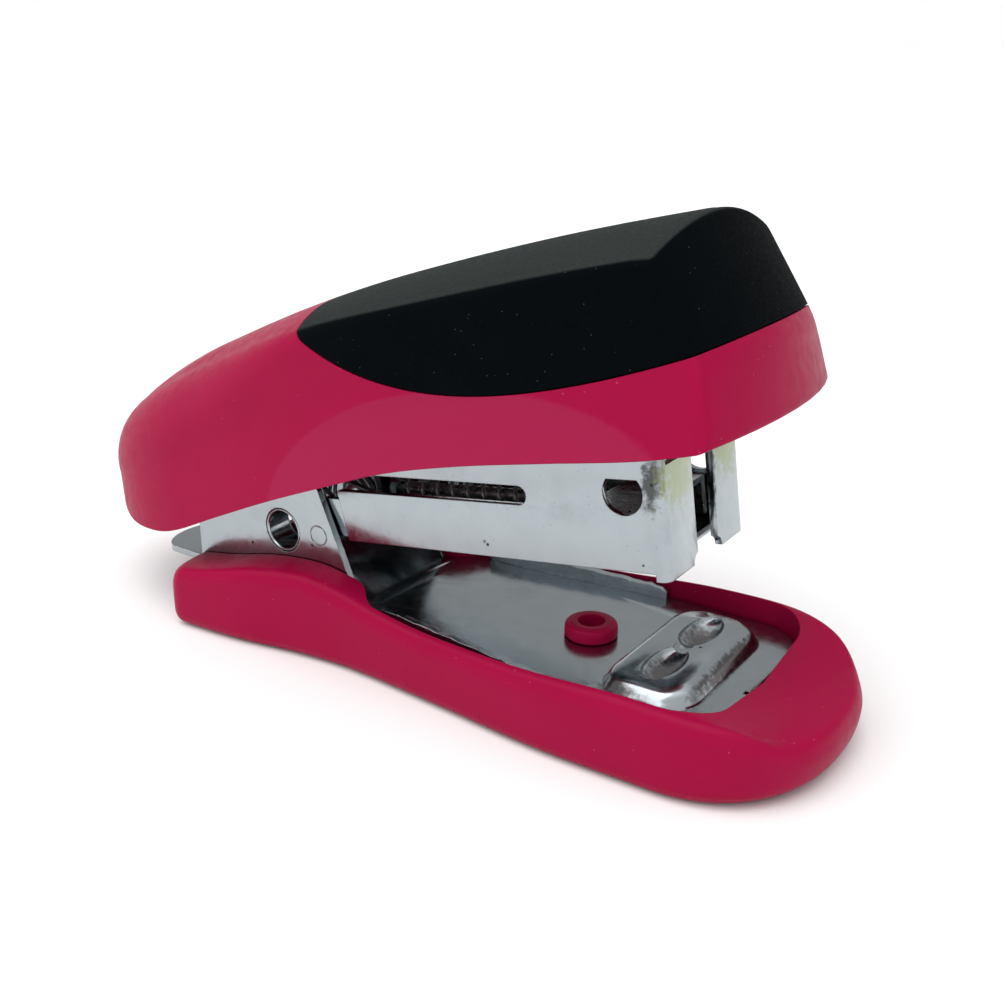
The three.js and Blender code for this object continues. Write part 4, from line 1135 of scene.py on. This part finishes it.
def floor():
    """A plain pale table top, far larger than the view."""
    reach = 6.0
    mesh = bpy.data.meshes.new("floor")
    corners = [(-reach, -reach, 0), (reach, -reach, 0), (reach, reach, 0), (-reach, reach, 0)]
    mesh.from_pydata(corners, [], [(0, 1, 2, 3)])
    plane = bpy.data.objects.new("floor", mesh)
    bpy.context.scene.collection.objects.link(plane)

    def shade(nodes, shader):
        paper = nodes.mix(nodes.noise(60, 3), (0.86, 0.86, 0.86, 1), (0.88, 0.88, 0.88, 1))
        nodes.put(shader, "Base Color", paper)
        shader.inputs["Roughness"].default_value = 0.9
        shader.inputs["Specular IOR Level"].default_value = 0.1

    mesh.materials.append(material("floor", shade))


def world_light():
    """A white surround near the horizon, a greyer room above it, and a bright ceiling."""
    world = bpy.data.worlds.new("studio")
    bpy.context.scene.world = world
    world.use_nodes = True
    nodes = Nodes(world.node_tree)
    height = nodes.add("SeparateXYZ", Vector=nodes.add("TexCoord").outputs["Generated"]).outputs["Z"]
    ramp = nodes.add("ValToRGB", Fac=nodes.remap(height, -1.0, 1.0, 0.0, 1.0))
    stops = ((0.0, 0.95), (0.54, 1.0), (0.60, 0.42), (0.80, 0.5), (0.95, 1.1))
    while len(ramp.color_ramp.elements) < len(stops):
        ramp.color_ramp.elements.new(0.5)
    for element, (position, value) in zip(ramp.color_ramp.elements, stops):
        element.position = position
        element.color = (value, value, value, 1)
    background = nodes.add("Background", Color=ramp.outputs["Color"], Strength=1.0)
    out = nodes.add("OutputWorld")
    world.node_tree.links.new(background.outputs[0], out.inputs[0])


def sun(name, azimuth, elevation, strength, spread):
    """A broad soft light from far away, from the given direction in degrees."""
    data = bpy.data.lights.new(name, "SUN")
    data.energy = strength
    data.angle = math.radians(spread)
    light = bpy.data.objects.new(name, data)
    bpy.context.scene.collection.objects.link(light)
    az, el = math.radians(azimuth), math.radians(elevation)
    towards = Vector((math.sin(az) * math.cos(el), -math.cos(az) * math.cos(el), math.sin(el)))
    light.rotation_euler = towards.to_track_quat("Z", "Y").to_euler()


CAMERA_ANGLES = (34.08, 21.16, 0.19)  # azimuth, elevation and roll, degrees
CAMERA_TARGET = (21.47, 0, 4.83)  # from the pivot, mm
CAMERA_DISTANCE = 113.12  # mm
SENSOR_WIDTH, FOCAL_LENGTH = 36, 43.75  # mm
LENS_SHIFT = (-0.0014, 0.0054)  # shares of the sensor's width


def camera():
    """The viewpoint of the reference: from the front right and a little above."""
    azimuth, elevation, roll = (math.radians(angle) for angle in CAMERA_ANGLES)
    target = PIVOT + Vector(CAMERA_TARGET)
    out = math.cos(elevation)
    back = Vector((math.sin(azimuth) * out, -math.cos(azimuth) * out, math.sin(elevation)))
    level = Vector((math.cos(azimuth), math.sin(azimuth), 0))
    upright = back.cross(level)
    right = math.cos(roll) * level + math.sin(roll) * upright
    up = math.cos(roll) * upright - math.sin(roll) * level
    data = bpy.data.cameras.new("camera")
    data.sensor_width = SENSOR_WIDTH
    data.lens = FOCAL_LENGTH
    data.shift_x, data.shift_y = LENS_SHIFT
    data.clip_start = 0.005
    made = bpy.data.objects.new("camera", data)
    bpy.context.scene.collection.objects.link(made)
    turn = Matrix((right, up, back)).transposed().to_4x4()
    made.matrix_world = Matrix.Translation((target + back * CAMERA_DISTANCE) * MM) @ turn
    bpy.context.scene.camera = made


floor()
world_light()
sun("key", azimuth=-20, elevation=62, strength=1.9, spread=70)
sun("fill", azimuth=60, elevation=40, strength=0.5, spread=90)
camera()
bpy.context.scene.view_settings.view_transform = "Standard"
